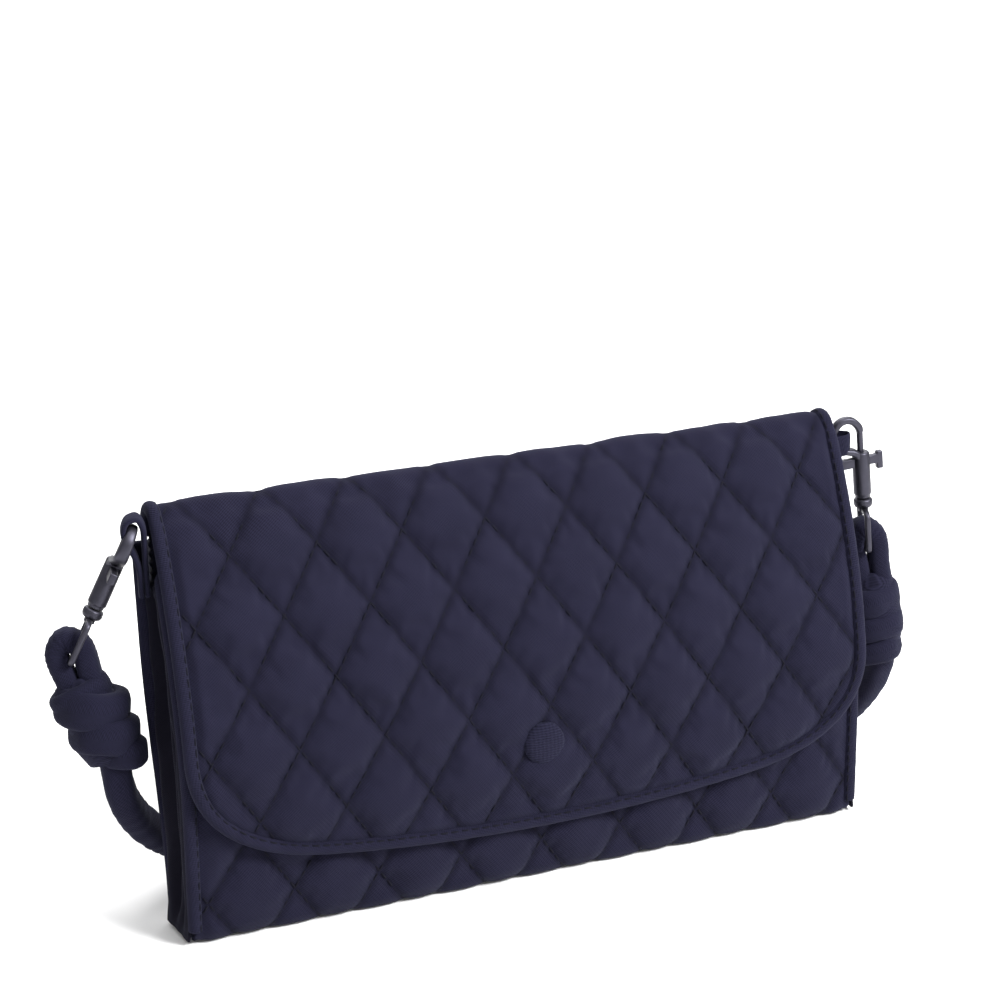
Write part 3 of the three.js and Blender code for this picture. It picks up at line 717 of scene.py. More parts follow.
def studio():
    world = bpy.data.worlds.new("studio")
    world.use_nodes = True
    world.node_tree.nodes["Background"].inputs["Color"].default_value = (1, 1, 1, 1)
    world.node_tree.nodes["Background"].inputs["Strength"].default_value = 0.64
    bpy.context.scene.world = world
    bpy.context.scene.view_settings.view_transform = "Standard"
    area_light("key", (0.55, -0.75, 0.85), (0, 0, 0.05), 0.45, 26)
    area_light("top", (0.05, 0.1, 1.1), (0, 0, 0.05), 0.7, 7)
    area_light("backdrop", (0.6, 1.7, 1.2), (0.6, 1.7, 0), 1.6, 36)


def floor():
    material, tree, shader = node_tree("floor_white")
    g = Graph(tree)
    place = g.add("ShaderNodeTexCoord").outputs["Object"]
    speck = g.add("ShaderNodeMapRange", {"Value": g.noise(place, 3.0), "To Min": 0.93, "To Max": 0.95})
    color = g.add("ShaderNodeCombineColor", {0: speck.outputs[0], 1: speck.outputs[0], 2: speck.outputs[0]})
    g.link(color.outputs[0], shader.inputs["Base Color"])
    shader.inputs["Roughness"].default_value = 0.9
    vertices = np.array([(-4, -4, 0), (4, -4, 0), (4, 4, 0), (-4, 4, 0)], float) / MM
    obj = make_object("floor", vertices, [(0, 1, 2, 3)], smooth=False)
    obj.data.materials.append(material)


# ---------------------------------------------------------------- panels

def sewn(piece, body, material, slot, *nodes):
    """Paint a piece, let it ride on a body and let it stand for its CAD nodes."""
    paint(piece, material)
    if body:
        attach(piece, body)
    if nodes:
        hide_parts(*nodes)
    return piece


def flap_pieces():
    panel = quilted_sheet("flap_quilted", FLAP, FLAP_CROSSING, FLAP_HALF + 1, in_flap, BEAD)
    sewn(panel, "flap", CLOTH, "quilted_fabric", "flap_panel")
    stitches = []
    binding = edge_bead("flap_edge_bead", FLAP, flap_outline(), stitches, 2.0, top_lift=0.95,
                        low_lift=-2.9)
    sewn(binding, "flap", BEAD_CLOTH, "binding_fabric", "flap_binding")
    quilting_stitches(FLAP, FLAP_CROSSING, FLAP_HALF + 1, in_flap, BEAD, stitches)
    sewn(stitches_object("flap_stitching", stitches), "flap", YARN, "quilted_fabric")


def front_pieces():
    panel = quilted_sheet("front_quilted", FRONT, FRONT_CROSSING, PANEL_HALF, in_front, BEAD)
    sewn(panel, None, BODY_CLOTH, "quilted_fabric", "front_panel")
    stitches = []
    binding = edge_bead("front_edge_bead", FRONT, front_outline(), stitches, 6.0, top_lift=0.75)
    sewn(binding, None, BEAD_CLOTH, "binding_fabric", "front_binding")
    quilting_stitches(FRONT, FRONT_CROSSING, PANEL_HALF, in_front, BEAD, stitches)
    sewing = sewn(stitches_object("front_stitching", stitches), None, YARN, "quilted_fabric")
    for piece in (panel, binding, sewing):
        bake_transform(piece)


def back_outline(side):
    """The back panel's side edge, which stands out a little further towards the top."""
    s = np.linspace(0.5, BACK.high, 60)
    flare = 2.3 if side < 0 else 0.6
    x = PANEL_HALF + 0.6 + flare * smooth_step((s - 10) / 70)
    return np.stack([side * x, s], 1)


def back_pieces():
    panel = quilted_sheet("back_quilted", BACK, FRONT_CROSSING, PANEL_HALF + 2, in_back, 0.0)
    sewn(panel, "wallet", BODY_CLOTH, "quilted_fabric", "back_panel", "base_panel")
    stitches = []
    quilting_stitches(BACK, FRONT_CROSSING, PANEL_HALF, in_back, 0.0, stitches)
    for name, side in (("left", -1), ("right", 1)):
        line = back_outline(side)[::-side]
        bead = edge_bead(f"back_edge_bead_{name}", BACK, line, stitches, 4.0 + side, top_lift=0.6)
        sewn(bead, "wallet", BEAD_CLOTH, "binding_fabric")
    sewn(stitches_object("back_stitching", stitches), "wallet", YARN, "quilted_fabric")


def cloth_patch(name, points, thickness, normal_sign=1.0):
    """A thin closed cloth from a grid of points in millimetres, with uv along its two sides."""
    points = np.asarray(points, float)
    rows, columns = points.shape[:2]
    du, dv = np.gradient(points, axis=0), np.gradient(points, axis=1)
    normal = np.cross(du, dv)
    normal /= np.maximum(np.linalg.norm(normal, axis=2, keepdims=True), 1e-9)
    u, v = run_length(points[:, columns // 2]), run_length(points[rows // 2])
    uv = np.stack(np.meshgrid(u, v, indexing="ij"), -1).reshape(-1, 2)
    faces = [[a * columns + b, (a + 1) * columns + b, (a + 1) * columns + b + 1, a * columns + b + 1]
             for a in range(rows - 1) for b in range(columns - 1)]
    outer = points.reshape(-1, 3)
    inner = outer - normal.reshape(-1, 3) * thickness * normal_sign
    vertices, closed = thickened(outer, inner, faces)
    return make_object(name, vertices, closed, np.tile(uv, (2, 1)))


def gusset(name, side):
    """The side wall: cloth folded inwards in pleats between the back's edge and the front's."""
    low, high, seam = 1.2, 97, 1.4
    fold_depth, pleat_depth, pleats = 3.4, 1.1, 3
    front_x, back_x = 101.9, 103.1
    heights = np.linspace(low, high, 70)
    across = np.linspace(0, 1, 41)
    points = np.zeros((len(heights), len(across), 3))
    for row, z in enumerate(heights):
        front_y, _ = front_line(np.array([z]), -seam)
        back_y = BACK_FOOT + BACK_SLOPE * z - seam
        sag = smooth_step(min(z / 12, (high + 3 - z) / 10))
        fold = fold_depth * np.sin(np.pi * across) + pleat_depth * np.cos(across * 2 * pleats * math.pi)
        wander = 0.35 * ripple(across * 14, np.full_like(across, z), 7.0, 3.0 + side)
        edge = front_x + across * (back_x - front_x)
        points[row, :, 0] = side * (edge - (fold + wander) * sag)
        points[row, :, 1] = front_y[0] + (back_y - front_y[0]) * across
        points[row, :, 2] = z
    wall = cloth_patch(f"{name}_cloth", points, 0.8, side)
    # painted shade: the side wall's cloth is coloured darker than the outer navy
    sewn(wall, None, GUSSET_CLOTH_PAINTED_SHADE, "gusset_fabric", name)
    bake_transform(wall)


def fold_strip():
    """The cloth that carries on from the back panel to the flap, behind the top fold."""
    inside_fold, inside_back_face, half = 0.9, 2.2, 100.5
    angle = np.linspace(math.radians(-30), -1.35, 8)
    y = FOLD_Y + (FOLD_RADIUS - inside_fold) * np.cos(angle)
    z = FOLD_Z + (FOLD_RADIUS - inside_fold) * np.sin(angle)
    low = np.linspace(106.5, 98, 6)
    y = np.concatenate([y, BACK_FOOT + BACK_SLOPE * low - inside_back_face])
    z = np.concatenate([z, low])
    y, x = np.meshgrid(y, np.linspace(-half, half, 60), indexing="ij")
    points = np.stack([x, y, np.repeat(z[:, None], x.shape[1], 1)], -1)
    strip = cloth_patch("fold_strip", points, 1.2)
    # painted shade: the cloth behind the fold is coloured darker than the outer navy
    sewn(strip, None, GUSSET_CLOTH_PAINTED_SHADE, "quilted_fabric")
    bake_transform(strip)


# ---------------------------------------------------------------- linings and pockets

def lining_sheet(node, body, surface_at, half, low, high, thickness, seed):
    """A smooth lining: a thin sheet with a turned hem along its top and a little slack."""
    x = np.linspace(-half, half, 81)
    part = np.linspace(0, 1, 45)
    sx, rise = np.meshgrid(x, part, indexing="ij")
    foot = low(sx) if callable(low) else low
    ss = foot + (high - foot) * rise
    slack = 0.18 * ripple(sx, ss, 13.0, seed) * np.sin(np.pi * rise)
    hem = 0.22 * smooth_step((ss - high + 4.5) / 0.8)
    points = surface_at(sx, ss, slack + hem)
    sheet = cloth_patch(node.removesuffix("_panel") + "_cloth", points, thickness)
    return sewn(sheet, body, LINING_CLOTH, "lining_fabric", node)


def inside_back(depth):
    def at(x, s, lift):
        lean = math.atan(BACK_SLOPE)
        y = BACK_FOOT + s * math.sin(lean) - (depth + lift) * math.cos(lean)
        return np.stack([x, y, s * math.cos(lean) + (depth + lift) * math.sin(lean)], -1)
    return at


def inside_of(surface, depth):
    def at(x, s, lift):
        return surface.at(x, s, -(depth + lift * 0.6))
    return at


def flap_lining_foot(x):
    """Where the flap's lining ends, just inside the bead round the flap's edge."""
    edge = flap_edge_points(BEAD + 0.4)
    return np.interp(x - FLAP_MIDDLE, edge[:, 0], np.interp(edge[:, 1], FLAP.z[:150], FLAP.s[:150]))


def linings():
    """The flap's, front's and back's linings, the divider and the three card pockets."""
    flap_inside, front_inside = inside_of(FLAP, 3.05), inside_of(FRONT, 2.75)
    sheets = [
        ("flap_lining", "flap", flap_inside, 97.8, flap_lining_foot, FLAP.high - 3, 0.4),
        ("front_lining", "front", front_inside, 97, 5, FRONT.high - 1.5, 0.4),
        ("back_lining", "wallet", inside_back(2.9), 98, 4.3, 97, 0.4),
        ("divider_panel", "wallet", inside_back(5.3), 98, 4.3, 97, 0.6),
        ("card_pocket_upper", "wallet", inside_back(6.3), 94, 5.3, 74, 0.4),
        ("card_pocket_middle", "wallet", inside_back(7.1), 94, 5.3, 62, 0.4),
        ("card_pocket_lower", "wallet", inside_back(7.9), 94, 5.3, 50, 0.4),
    ]
    for number, (node, body, surface_at, half, low, high, thickness) in enumerate(sheets):
        lining_sheet(node, body, surface_at, half, low, high, thickness, 1.0 + number)


# ---------------------------------------------------------------- metal

def lathe(profile, sides=40):
    """Vertices and faces of a turned shape from (radius, z) points."""
    vertices = []
    for radius, z in profile:
        for k in range(sides):
            angle = 2 * math.pi * k / sides
            vertices.append((radius * math.cos(angle), radius * math.sin(angle), z))
    return np.array(vertices), ring_faces(len(profile), sides)


def bevelled(obj, width, segments=3):
    """Round the sharp edges of a hard piece."""
    modifier = obj.modifiers.new("bevel", "BEVEL")
    modifier.width = width * MM
    modifier.segments = segments
    modifier.limit_method = "ANGLE"
    return apply_modifiers(obj)


def plate(outline, thickness):
    """A flat plate in local x and z from an outline, centred on y = 0."""
    count = len(outline)
    vertices = [(x, side * thickness / 2, z) for side in (-1, 1) for x, z in outline]
    faces = [tuple(range(count)), tuple(range(2 * count - 1, count - 1, -1))]
    faces += [(k, k + count, (k + 1) % count + count, (k + 1) % count) for k in range(count)]
    return np.array(vertices, float), faces


def merged(name, parts):
    """One object from several (vertices, faces) parts, each of which may have its uv as well."""
    faces, offset = [], 0
    for vertices, part_faces, *_ in parts:
        faces += [tuple(v + offset for v in face) for face in part_faces]
        offset += len(vertices)
    vertices = np.concatenate([part[0] for part in parts])
    uv = np.concatenate([part[2] for part in parts]) if len(parts[0]) > 2 else None
    return make_object(name, vertices, faces, uv)


def sweep_part(path, across, widths, heights, sides=20):
    """An oval bar along a path: widths are along the across direction, heights square to it."""
    path = np.asarray(path, float)
    along = np.gradient(path, axis=0)
    along /= np.linalg.norm(along, axis=1, keepdims=True)
    across = np.asarray(across, float) - along * (along @ np.asarray(across, float))[:, None]
    across /= np.linalg.norm(across, axis=1, keepdims=True)
    up = np.cross(along, across)
    angle = np.linspace(0, 2 * math.pi, sides, endpoint=False)
    soft = 0.72
    c = np.sign(np.cos(angle)) * np.abs(np.cos(angle)) ** soft
    d = np.sign(np.sin(angle)) * np.abs(np.sin(angle)) ** soft
    rings = (path[:, None] + across[:, None] * (c[None, :, None] * np.asarray(widths)[:, None, None] / 2)
             + up[:, None] * (d[None, :, None] * np.asarray(heights)[:, None, None] / 2))
    return rings.reshape(-1, 3), ring_faces(len(path), sides)


def smooth_path(points, count):
    """A smooth curve (Catmull-Rom) through points, as that many points."""
    p = np.asarray(points, float)
    p = np.concatenate([[2 * p[0] - p[1]], p, [2 * p[-1] - p[-2]]])
    t = np.linspace(0, len(p) - 3 - 1e-9, count)
    k = t.astype(int)
    f = (t - k)[:, None]
    a, b, c, d = p[k], p[k + 1], p[k + 2], p[k + 3]
    return 0.5 * (2 * b + (c - a) * f + (2 * a - 5 * b + 4 * c - d) * f * f
                  + (3 * b - a - 3 * c + d) * f ** 3)


# Where each hook hangs, in millimetres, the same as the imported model's.
HOOKS = {
    "left": {"foot": (-116.1, 17.8, 90.4), "up": (0.45, -0.03, 0.8925),
             "bow": 1.3, "eye": -0.35, "lean": -0.75},
    "right": {"foot": (115.2, 14, 89.7), "up": (-0.083, 0.02, 0.996),
              "bow": -0.14, "eye": -0.35, "lean": -0.1},
}
BARREL_RADIUS, BARREL_HEIGHT, LEVER_HEIGHT = 2.6, 14.2, 11.2
EYE_BAR = -15.15  # the middle of the eye's lower bar


def hook_matrix(side, turn):
    """From a hook's own axes, in millimetres, to the world, in metres."""
    place = HOOKS[side]
    up = Vector(place["up"]).normalized()
    turned = Vector((0, 0, 1)).rotation_difference(up) @ Quaternion((0, 0, 1), turn)
    return Matrix.Translation(Vector(place["foot"]) * MM) @ turned.to_matrix().to_4x4()


def hook_frame(side):
    """The barrel, the bow that rises from one side of it, and the rod that closes the bow."""
    barrel = lathe([(1.7, 0.1), (2.2, 0.15), (2.3, 0.9), (2.35, 1.0), (BARREL_RADIUS, 1.25),
                    (BARREL_RADIUS, 2.0),
                    (BARREL_RADIUS - 0.05, BARREL_HEIGHT - 0.6), (BARREL_RADIUS - 0.3, BARREL_HEIGHT - 0.1),
                    (BARREL_RADIUS - 0.9, BARREL_HEIGHT)])
    steps = 48
    arm = smooth_path([(-0.6, 0, 12.4), (-2.4, 0, 14.3), (-5.4, 0, 15.2), (-7.8, 0, 16.6), (-8.5, 0, 19.0),
                       (-8.1, 0, 21.6), (-6.4, 0, 23.7), (-4.2, 0, 24.4), (-2.0, 0, 23.7), (-0.4, 0, 21.9),
                       (0.1, 0, 20.3)], steps)
    part = np.linspace(0, 1, steps)
    width = np.interp(part, [0, 0.15, 0.4, 0.6, 1], [4.6, 4.4, 3.5, 2.9, 2.6])
    height = np.interp(part, [0, 0.2, 0.9, 1], [2.6, 2.0, 2.3, 2.0])
    bow = sweep_part(arm, (0, 1, 0), width, height)
    rod = lathe([(0.95, 12.5), (0.95, 20.6), (0.7, 20.9)], 20)
    frame_piece = merged(f"hook_frame_{side}_metal", [barrel, bow, rod])
    return bevelled(frame_piece, 0.12, 2)


def hook_lever(side):
    """The gate lever: a flat arm across the barrel, with a thumb tab at its end."""
    outline = [(-9.6, -1.8), (-2.2, -1.6), (2.4, -1.3), (4.7, -1.3), (4.7, -3.0), (6.6, -3.0), (6.6, 2.3),
               (4.9, 2.3), (4.7, 1.5), (2.2, 1.3), (-2.2, 1.3), (-9.6, 1.2)]
    points, faces = plate(outline, 2.0)
    points[:, 2] += LEVER_HEIGHT
    return bevelled(merged(f"hook_lever_{side}_metal", [(points, faces)]), 0.35)


def hook_eye(side):
    """The swivelling collar and the rounded rectangle of wire below it."""
    collar = lathe([(1.5, -0.2), (2.45, -0.35), (2.75, -0.8), (2.8, -1.9), (2.5, -2.7), (1.6, -3.2),
                    (0.6, -3.4)])
    half, top, bottom, bar = 6.2, -3.6, EYE_BAR, 1.75
    corner = 1.6
    loop = [(0, 0, top)]
    right, high, low = half - corner, top - corner, bottom + corner
    for cy, cz, start in ((right, high, 90), (right, low, 0), (-right, low, -90), (-right, high, -180)):
        for k in range(6):
            angle = math.radians(start - 18 * k)
            loop.append((0, cy + corner * math.cos(angle), cz + corner * math.sin(angle)))
    loop.append((0, 0, top))
    path = resample(np.array(loop), 0.5)
    ring = sweep_part(path, (1, 0, 0), np.full(len(path), bar), np.full(len(path), bar * 0.85), 14)
    boss = lathe([(0.9, -2.6), (1.5, -3.2), (1.5, -4.2), (0.9, -4.6)], 24)
    return merged(f"hook_eye_{side}_metal", [collar, ring, boss])


def hooks():
    parts = ((hook_frame, "bow", "hook", "hook_frame"), (hook_lever, "bow", "lever", "trigger"),
             (hook_eye, "eye", "eye", "hook_eye"))
    for side in ("left", "right"):
        for build, turn, body, node in parts:
            piece = build(side)
            piece.data.transform(hook_matrix(side, HOOKS[side][turn]))
            sewn(piece, f"{body}_{side}", GUNMETAL, "gunmetal", f"{node}_{side}")


# ---------------------------------------------------------------- knots and strap

def ring_part(centre, tilt, radius, width, thickness, seed, squeeze=1.0):
    """One flattened wrap of the strap round the knot, tilted about the local y axis."""
    count, sides = 64, 20
    angle = np.linspace(0, 2 * math.pi, count, endpoint=False)
    section = np.linspace(0, 2 * math.pi, sides, endpoint=False)
    vertices, uv = [], []
    for k, a in enumerate(angle):
        wobble = 1 + 0.035 * math.sin(2 * a + seed) + 0.02 * math.sin(5 * a + 2 * seed)
        out = np.array([math.cos(a), math.sin(a) * squeeze, 0])
        middle = out * (radius - thickness / 2) * wobble
        for m, b in enumerate(section):
            c = math.copysign(abs(math.cos(b)) ** 0.75, math.cos(b))
            d = math.copysign(abs(math.sin(b)) ** 0.6, math.sin(b))
            crease = 1 + 0.03 * math.sin(9 * a + 3 * b + seed)
            point = middle + out * c * thickness / 2 * crease
            vertices.append((point[0], point[1], d * width / 2 * (1 + 0.05 * math.sin(3 * a + seed))))
            uv.append((a * radius, b * (width + thickness) / 4))
    points = np.array(vertices)
    c, d = math.cos(tilt), math.sin(tilt)
    x, y, z = points.T
    turned = np.stack([x * c - z * d, y, x * d + z * c], 1)
    return turned + np.array(centre), ring_faces(count, sides, closed=True), np.array(uv)


def bight_part(leg, spread, depth):
    """The strap's loop through the eye: two legs side by side and a tight turn over the bar."""
    half = [(-spread, 0, -leg), (-spread, 0, -leg / 2), (-spread * 1.15, 0, 0), (-spread * 0.95, 0, 3.4)]
    path = smooth_path(half + [(0, 0, 5.6)] + [(-x, y, z) for x, y, z in reversed(half)], 80)
    count = len(path)
    folds = 1 + 0.035 * np.sin(np.arange(count) * 1.9) * np.hanning(count)
    sides = 24
    vertices, faces = sweep_part(path, (0, 1, 0), depth * folds, 6.4 * folds, sides)
    along = np.repeat(np.arange(count) * 0.6, sides)
    around = np.tile(np.arange(float(sides)), count)
    return vertices, faces, np.stack([along, around], 1)


# Each wrap's centre, tilt, outer radius, width, thickness, seed and squeeze, from the eye's bar down.
WRAPS = {
    "left": [
        ((-1.2, 0, -9.6), 0.18, 8.4, 6.5, 5.0, 1.0, 0.9),
        ((0.6, 0, -13.8), -0.42, 10.0, 10.5, 5.2, 2.0, 0.92),
        ((1.2, 0, -21.5), -0.40, 9.6, 10.0, 5.2, 3.0, 0.92),
        ((4.2, 0, -28.2), -0.30, 6.6, 8.0, 5.0, 4.0, 1.05),
    ],
    "right": [
        ((-1.8, 0, -16.4), 0.03, 9.4, 8.8, 5.0, 1.5, 0.92),
        ((-1.8, 0, -24.4), 0.0, 9.5, 8.2, 5.0, 2.5, 0.92),
        ((-2.4, 0, -32.0), 0.05, 8.6, 8.0, 5.0, 3.5, 0.94),
    ],
}
# The strap held inside the wraps: top, bottom and radius.
CORES = {"left": (-5, -30, 7.6), "right": (-8, -33, 7.6)}


def knot(side):
    """The strap's knot below the eye: its loop over the bar, the wraps and what they hold."""
    parts = [bight_part(leg=11.5, spread=3.1, depth=8.4)]
    parts += [ring_part(*wrap) for wrap in WRAPS[side]]
    top, bottom, radius = CORES[side]
    core = lathe([(radius * 0.5, top), (radius * 0.85, top - 3), (radius, top - 8), (radius, bottom + 6),
                  (radius * 0.75, bottom + 1), (radius * 0.4, bottom)], 36)
    parts.append((*core, core[0][:, 1:]))
    piece = merged(f"strap_knot_{side}_cloth", parts)
    place = HOOKS[side]
    lean = Matrix.Translation((0, 0, EYE_BAR * MM)) @ Matrix.Rotation(place["lean"], 4, "Y")
    piece.data.transform(hook_matrix(side, place["eye"]) @ lean)
    sewn(piece, f"eye_{side}", STRAP_CLOTH, "strap_fabric", f"strap_knot_{side}")


STRAP_LOW = TUBE / 2 + 0.15
STRAP_LEFT = [(-115.0, 12.0, 52), (-114.6, 11.6, 47), (-114.3, 10.9, 43), (-113.1, 11.5, 38),
              (-110.6, 13.8, 32.6), (-107.3, 17, 27.4), (-102.8, 20.6, 22), (-97, 24.4, 16.8),
              (-89.5, 28.8, 11.6), (-81, 33.2, 7.6), (-71.5, 37.6, STRAP_LOW + 0.3),
              (-60, 42, STRAP_LOW), (-48, 45.8, STRAP_LOW), (-35, 49, STRAP_LOW),
              (-22, 51.4, STRAP_LOW), (-10, 52.8, STRAP_LOW), (0, 53.4, STRAP_LOW)]
STRAP_RIGHT = [(122.4, 12.6, 41), (122.6, 13.6, 37), (122.2, 16.6, 30.4), (120.6, 21.2, 23),
               (117.4, 26.6, 15.6), (112, 32, 8.8), (103.6, 37, STRAP_LOW + 0.3),
               (92, 41.6, STRAP_LOW), (78, 45.6, STRAP_LOW), (63, 48.8, STRAP_LOW),
               (47, 51.2, STRAP_LOW), (31, 52.6, STRAP_LOW), (15, 53.3, STRAP_LOW),
               (0, 53.4, STRAP_LOW)]


def strap(side, route, nodes):
    """Half of the strap: a soft flattened tube with creases where it bends."""
    step, sides = 0.9, 28
    path = resample(smooth_path(route, 400), step)
    count = len(path)
    along = np.arange(count) * step
    creases = np.sin(along * 1.3 + np.sin(along * 0.31) * 2) * np.exp(-((along - 45) / 35) ** 2)
    fold = 1 + 0.03 * creases
    width = (TUBE + 0.5 - 1.2 * np.exp(-along / 30)) * fold
    height = (TUBE - 1.3) * fold
    vertices, faces = sweep_part(path, (0, 0.55, 0.84), width, height, sides)
    vertices[:, 2] = np.maximum(vertices[:, 2], FLOOR_GAP)
    uv = np.stack([np.repeat(along, sides), np.tile(np.arange(sides) * 1.05, count)], 1)
    piece = make_object(f"strap_{side}", vertices, faces, uv)
    sewn(piece, None, STRAP_CLOTH, "strap_fabric", *nodes)
    tuple(np.array(route[0]) * MM)
    low, high = np.array(route[4]) * MM, np.array(route[0]) * MM
    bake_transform(piece)


# ---------------------------------------------------------------- tabs, snap and zip

TAB_WIDTH = 6.4


def band(name, path, width_direction, thickness, node):
    """A narrow cloth band, with softly rounded edges, along a path."""
    step, sides = 0.5, 16
    path = resample(smooth_path(path, 120), step)
    count = len(path)
    widths, heights = np.full(count, TAB_WIDTH), np.full(count, thickness)
    vertices, faces = sweep_part(path, width_direction, widths, heights, sides)
    around = np.arange(sides) * TAB_WIDTH / 8
    uv = np.stack([np.repeat(np.arange(count) * step, sides), np.tile(around, count)], 1)
    piece = make_object(name, vertices, faces, uv)
    return sewn(piece, None, BEAD_CLOTH, "gusset_fabric", node)


def tabs():
    """The two cloth loops that carry the hooks, each folded over its bow."""
    y = 13.0
    left = [(-102.9, y, 94), (-103.2, y, 101), (-103.2, y, 108), (-103.4, y, 112.4), (-104.6, y, 115.0),
            (-106.14, y, 115.4), (-107.9, y, 114.6), (-108.7, y, 112.2), (-108.0, y, 109),
            (-106.2, y, 105.6), (-104.9, y, 101), (-104.6, y, 94)]
    loop = band("tab_left_cloth", left, (0.26, 0.966, 0), 1.7, "tab_left")
    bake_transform(loop)
    middle = 15.4
    near = [(102.8, -2.4, 106), (105, -2.4, 106.5), (108.5, -2.2, 106.8), (110.4, 0, 106.9)]
    far = [(x, -y, z) for x, y, z in reversed(near[:-1])]
    right = [(x, middle + y, z) for x, y, z in near + far]
    loop = band("tab_right_cloth", right, (0, 0, 1), 1.0, "tab_right")
    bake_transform(loop)


def snap_button():
    """The cloth-covered cap: a low dome with its edge turned under."""
    profile = [(5.2, 0.0), (5.75, 0.1), (6.0, 0.55), (5.95, 1.1), (5.5, 1.75), (4.4, 2.25), (2.6, 2.55),
               (0.02, 2.65)]
    vertices, faces = lathe(profile, 64)
    s = FLAP.s_at_height(SNAP_HEIGHT)
    centre = FLAP.at(np.array(0.0), np.array(s), np.array(-0.45))
    normal = FLAP.normal(np.array(s))
    up = np.cross(normal, (1, 0, 0))
    world = centre + vertices @ np.array([(1.0, 0, 0), up, normal])
    cap = make_object("snap_cap_cloth", world, faces, vertices[:, :2])
    sewn(cap, "flap", BUTTON_CLOTH, "button_fabric", "snap_cap")


ZIP_DEPTH, ZIP_HEIGHT = 4.35, 98.5
TOOTH_COUNT, TOOTH_PITCH, FIRST_TOOTH = 120, 1.5, -89.2


def on_chain(x, across, height):
    """A point on the zip, from the back's slope: across is towards the back, height is along it."""
    lean = math.atan(BACK_SLOPE)
    depth = ZIP_DEPTH - across
    s = ZIP_HEIGHT + height
    y = BACK_FOOT + s * math.sin(lean) - depth * math.cos(lean)
    return (x, y, s * math.cos(lean) + depth * math.sin(lean))


def zip_teeth():
    """Interlocked moulded teeth, alternately from the two tapes."""
    parts = []
    half = [(-0.75, -0.55), (-0.45, -0.75), (0.45, -0.75), (0.75, -0.55)]
    tooth = half + [(-u, -v) for u, v in half]
    faces = ring_faces(2, len(tooth))
    for k in range(TOOTH_COUNT):
        x = FIRST_TOOTH + k * TOOTH_PITCH
        side = 0.32 if k % 2 else -0.32
        low = [on_chain(x + u * 0.72, side + v, 0.1) for u, v in tooth]
        high = [on_chain(x + u * 0.6, side + v * 0.85, 1.35) for u, v in tooth]
        parts.append((np.array(low + high), faces))
    teeth = merged("zipper_teeth_metal", parts)
    sewn(teeth, "wallet", BRASS, "zip_brass", "zipper_teeth")


def zip_tapes():
    low, high, half, thickness = 86, 98.4, 92.5, 0.35
    for name, depth, seed in (("back", 3.7, 8.0), ("front", 4.6, 9.0)):
        node = f"zipper_tape_{name}"
        sheet = lining_sheet(node, "wallet", inside_back(depth), half, low, high, thickness, seed)
        paint(sheet, TAPE_CLOTH)


# ---------------------------------------------------------------- hard materials

def metal_finish(name, color, roughness, scratch=0.25):
    """Coated metal: uneven satin colour, fine scratches and a softly pitted surface."""
    material, tree, shader = node_tree(name)
    g = Graph(tree)
    place = g.add("ShaderNodeTexCoord").outputs["Object"]
    cloud = g.noise(place, 240.0, 4.0)
    fine = g.noise(place, 2600.0, 3.0)
    lighter = tuple(min(1.0, c * 1.7 + 0.01) for c in color)
    g.link(g.mix(cloud, (*color, 1), (*lighter, 1)), shader.inputs["Base Color"])
    stretched = g.add("ShaderNodeMapping", {"Vector": place, "Scale": (900.0, 900.0, 120.0)}).outputs[0]
    line = g.noise(stretched, 3.0, 5.0)
    limits = {"To Min": roughness - 0.08, "To Max": roughness + 0.14}
    rough = g.add("ShaderNodeMapRange", {"Value": line, **limits})
    g.link(rough.outputs[0], shader.inputs["Roughness"])
    height = g.math("ADD", g.math("MULTIPLY", fine, 0.6), g.math("MULTIPLY", line, scratch))
    g.link(g.add("ShaderNodeBump", {"Height": height, "Strength": 0.25, "Distance": 0.00004}).outputs[0],
           shader.inputs["Normal"])
    shader.inputs["Metallic"].default_value = 0.85
    return material


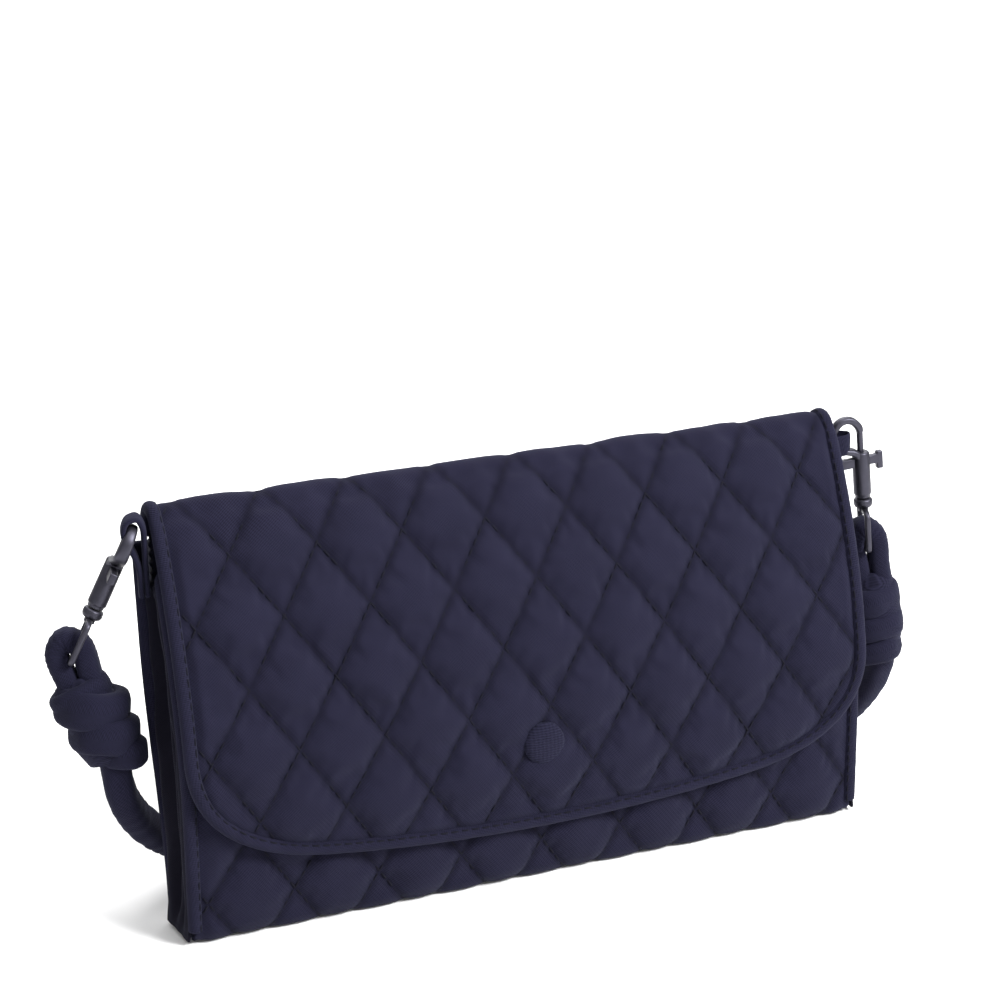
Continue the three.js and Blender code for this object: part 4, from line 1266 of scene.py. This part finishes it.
def recolour(prefixes, material):
    """Give the CAD pieces that stay on show their material."""
    for obj in bpy.data.objects:
        made_here = obj.name.endswith(("_cloth", "_metal"))
        if obj.type == "MESH" and obj.name.startswith(prefixes) and not made_here:
            for slot in obj.material_slots:
                slot.material = material


camera()
CLOTH = woven("flap_twill", NAVY, NAVY_LIGHT, crossing=FLAP_CROSSING)
BODY_CLOTH = woven("body_twill", NAVY, NAVY_LIGHT, crossing=FRONT_CROSSING)
BEAD_CLOTH = woven("bead_twill", NAVY, NAVY_LIGHT, pitch=0.5, angle=0.35)
# painted shade: the side walls and the cloth behind the top fold get a navy darker than the outer cloth's,
# for the shade that falls on them
GUSSET_CLOTH_PAINTED_SHADE = woven("gusset_cloth", (0.002, 0.0018, 0.0045), (0.0045, 0.004, 0.009), pitch=0.4,
                     uneven=0.5)
LINING_CLOTH = woven("lining_cloth", (0.006, 0.006, 0.017), (0.013, 0.0135, 0.034), pitch=0.3, sheen=0.05,
                     roughness=0.7)
TAPE_CLOTH = woven("tape_cloth", (0.005, 0.005, 0.013), (0.012, 0.012, 0.028), pitch=0.8, angle=0.0,
                   bump=0.6)
STRAP_CLOTH = woven("strap_twill", NAVY, NAVY_LIGHT, pitch=0.5, angle=0.7)
BUTTON_CLOTH = woven("button_rib", (0.0045, 0.0045, 0.012), NAVY_LIGHT, pitch=0.7, angle=math.pi / 2,
                     bump=0.8)
YARN = thread()
GUNMETAL = metal_finish("gunmetal_satin", (0.030, 0.029, 0.040), 0.42)
SNAP_METAL = metal_finish("snap_plating", (0.12, 0.11, 0.13), 0.3)
BRASS = metal_finish("zip_brass_polish", (0.55, 0.38, 0.14), 0.25)
knot("left")
knot("right")
strap("left", STRAP_LEFT, ("strap_run_left", "strap_rest"))
strap("right", STRAP_RIGHT, ("strap_run_right",))
studio()
floor()
flap_pieces()
front_pieces()
back_pieces()
gusset("gusset_left", -1)
gusset("gusset_right", 1)
fold_strip()
linings()
hooks()
tabs()
snap_button()
zip_teeth()
zip_tapes()
recolour(("trigger_", "hook_"), GUNMETAL)
recolour(("snap_",), SNAP_METAL)
recolour(("zipper_",), BRASS)
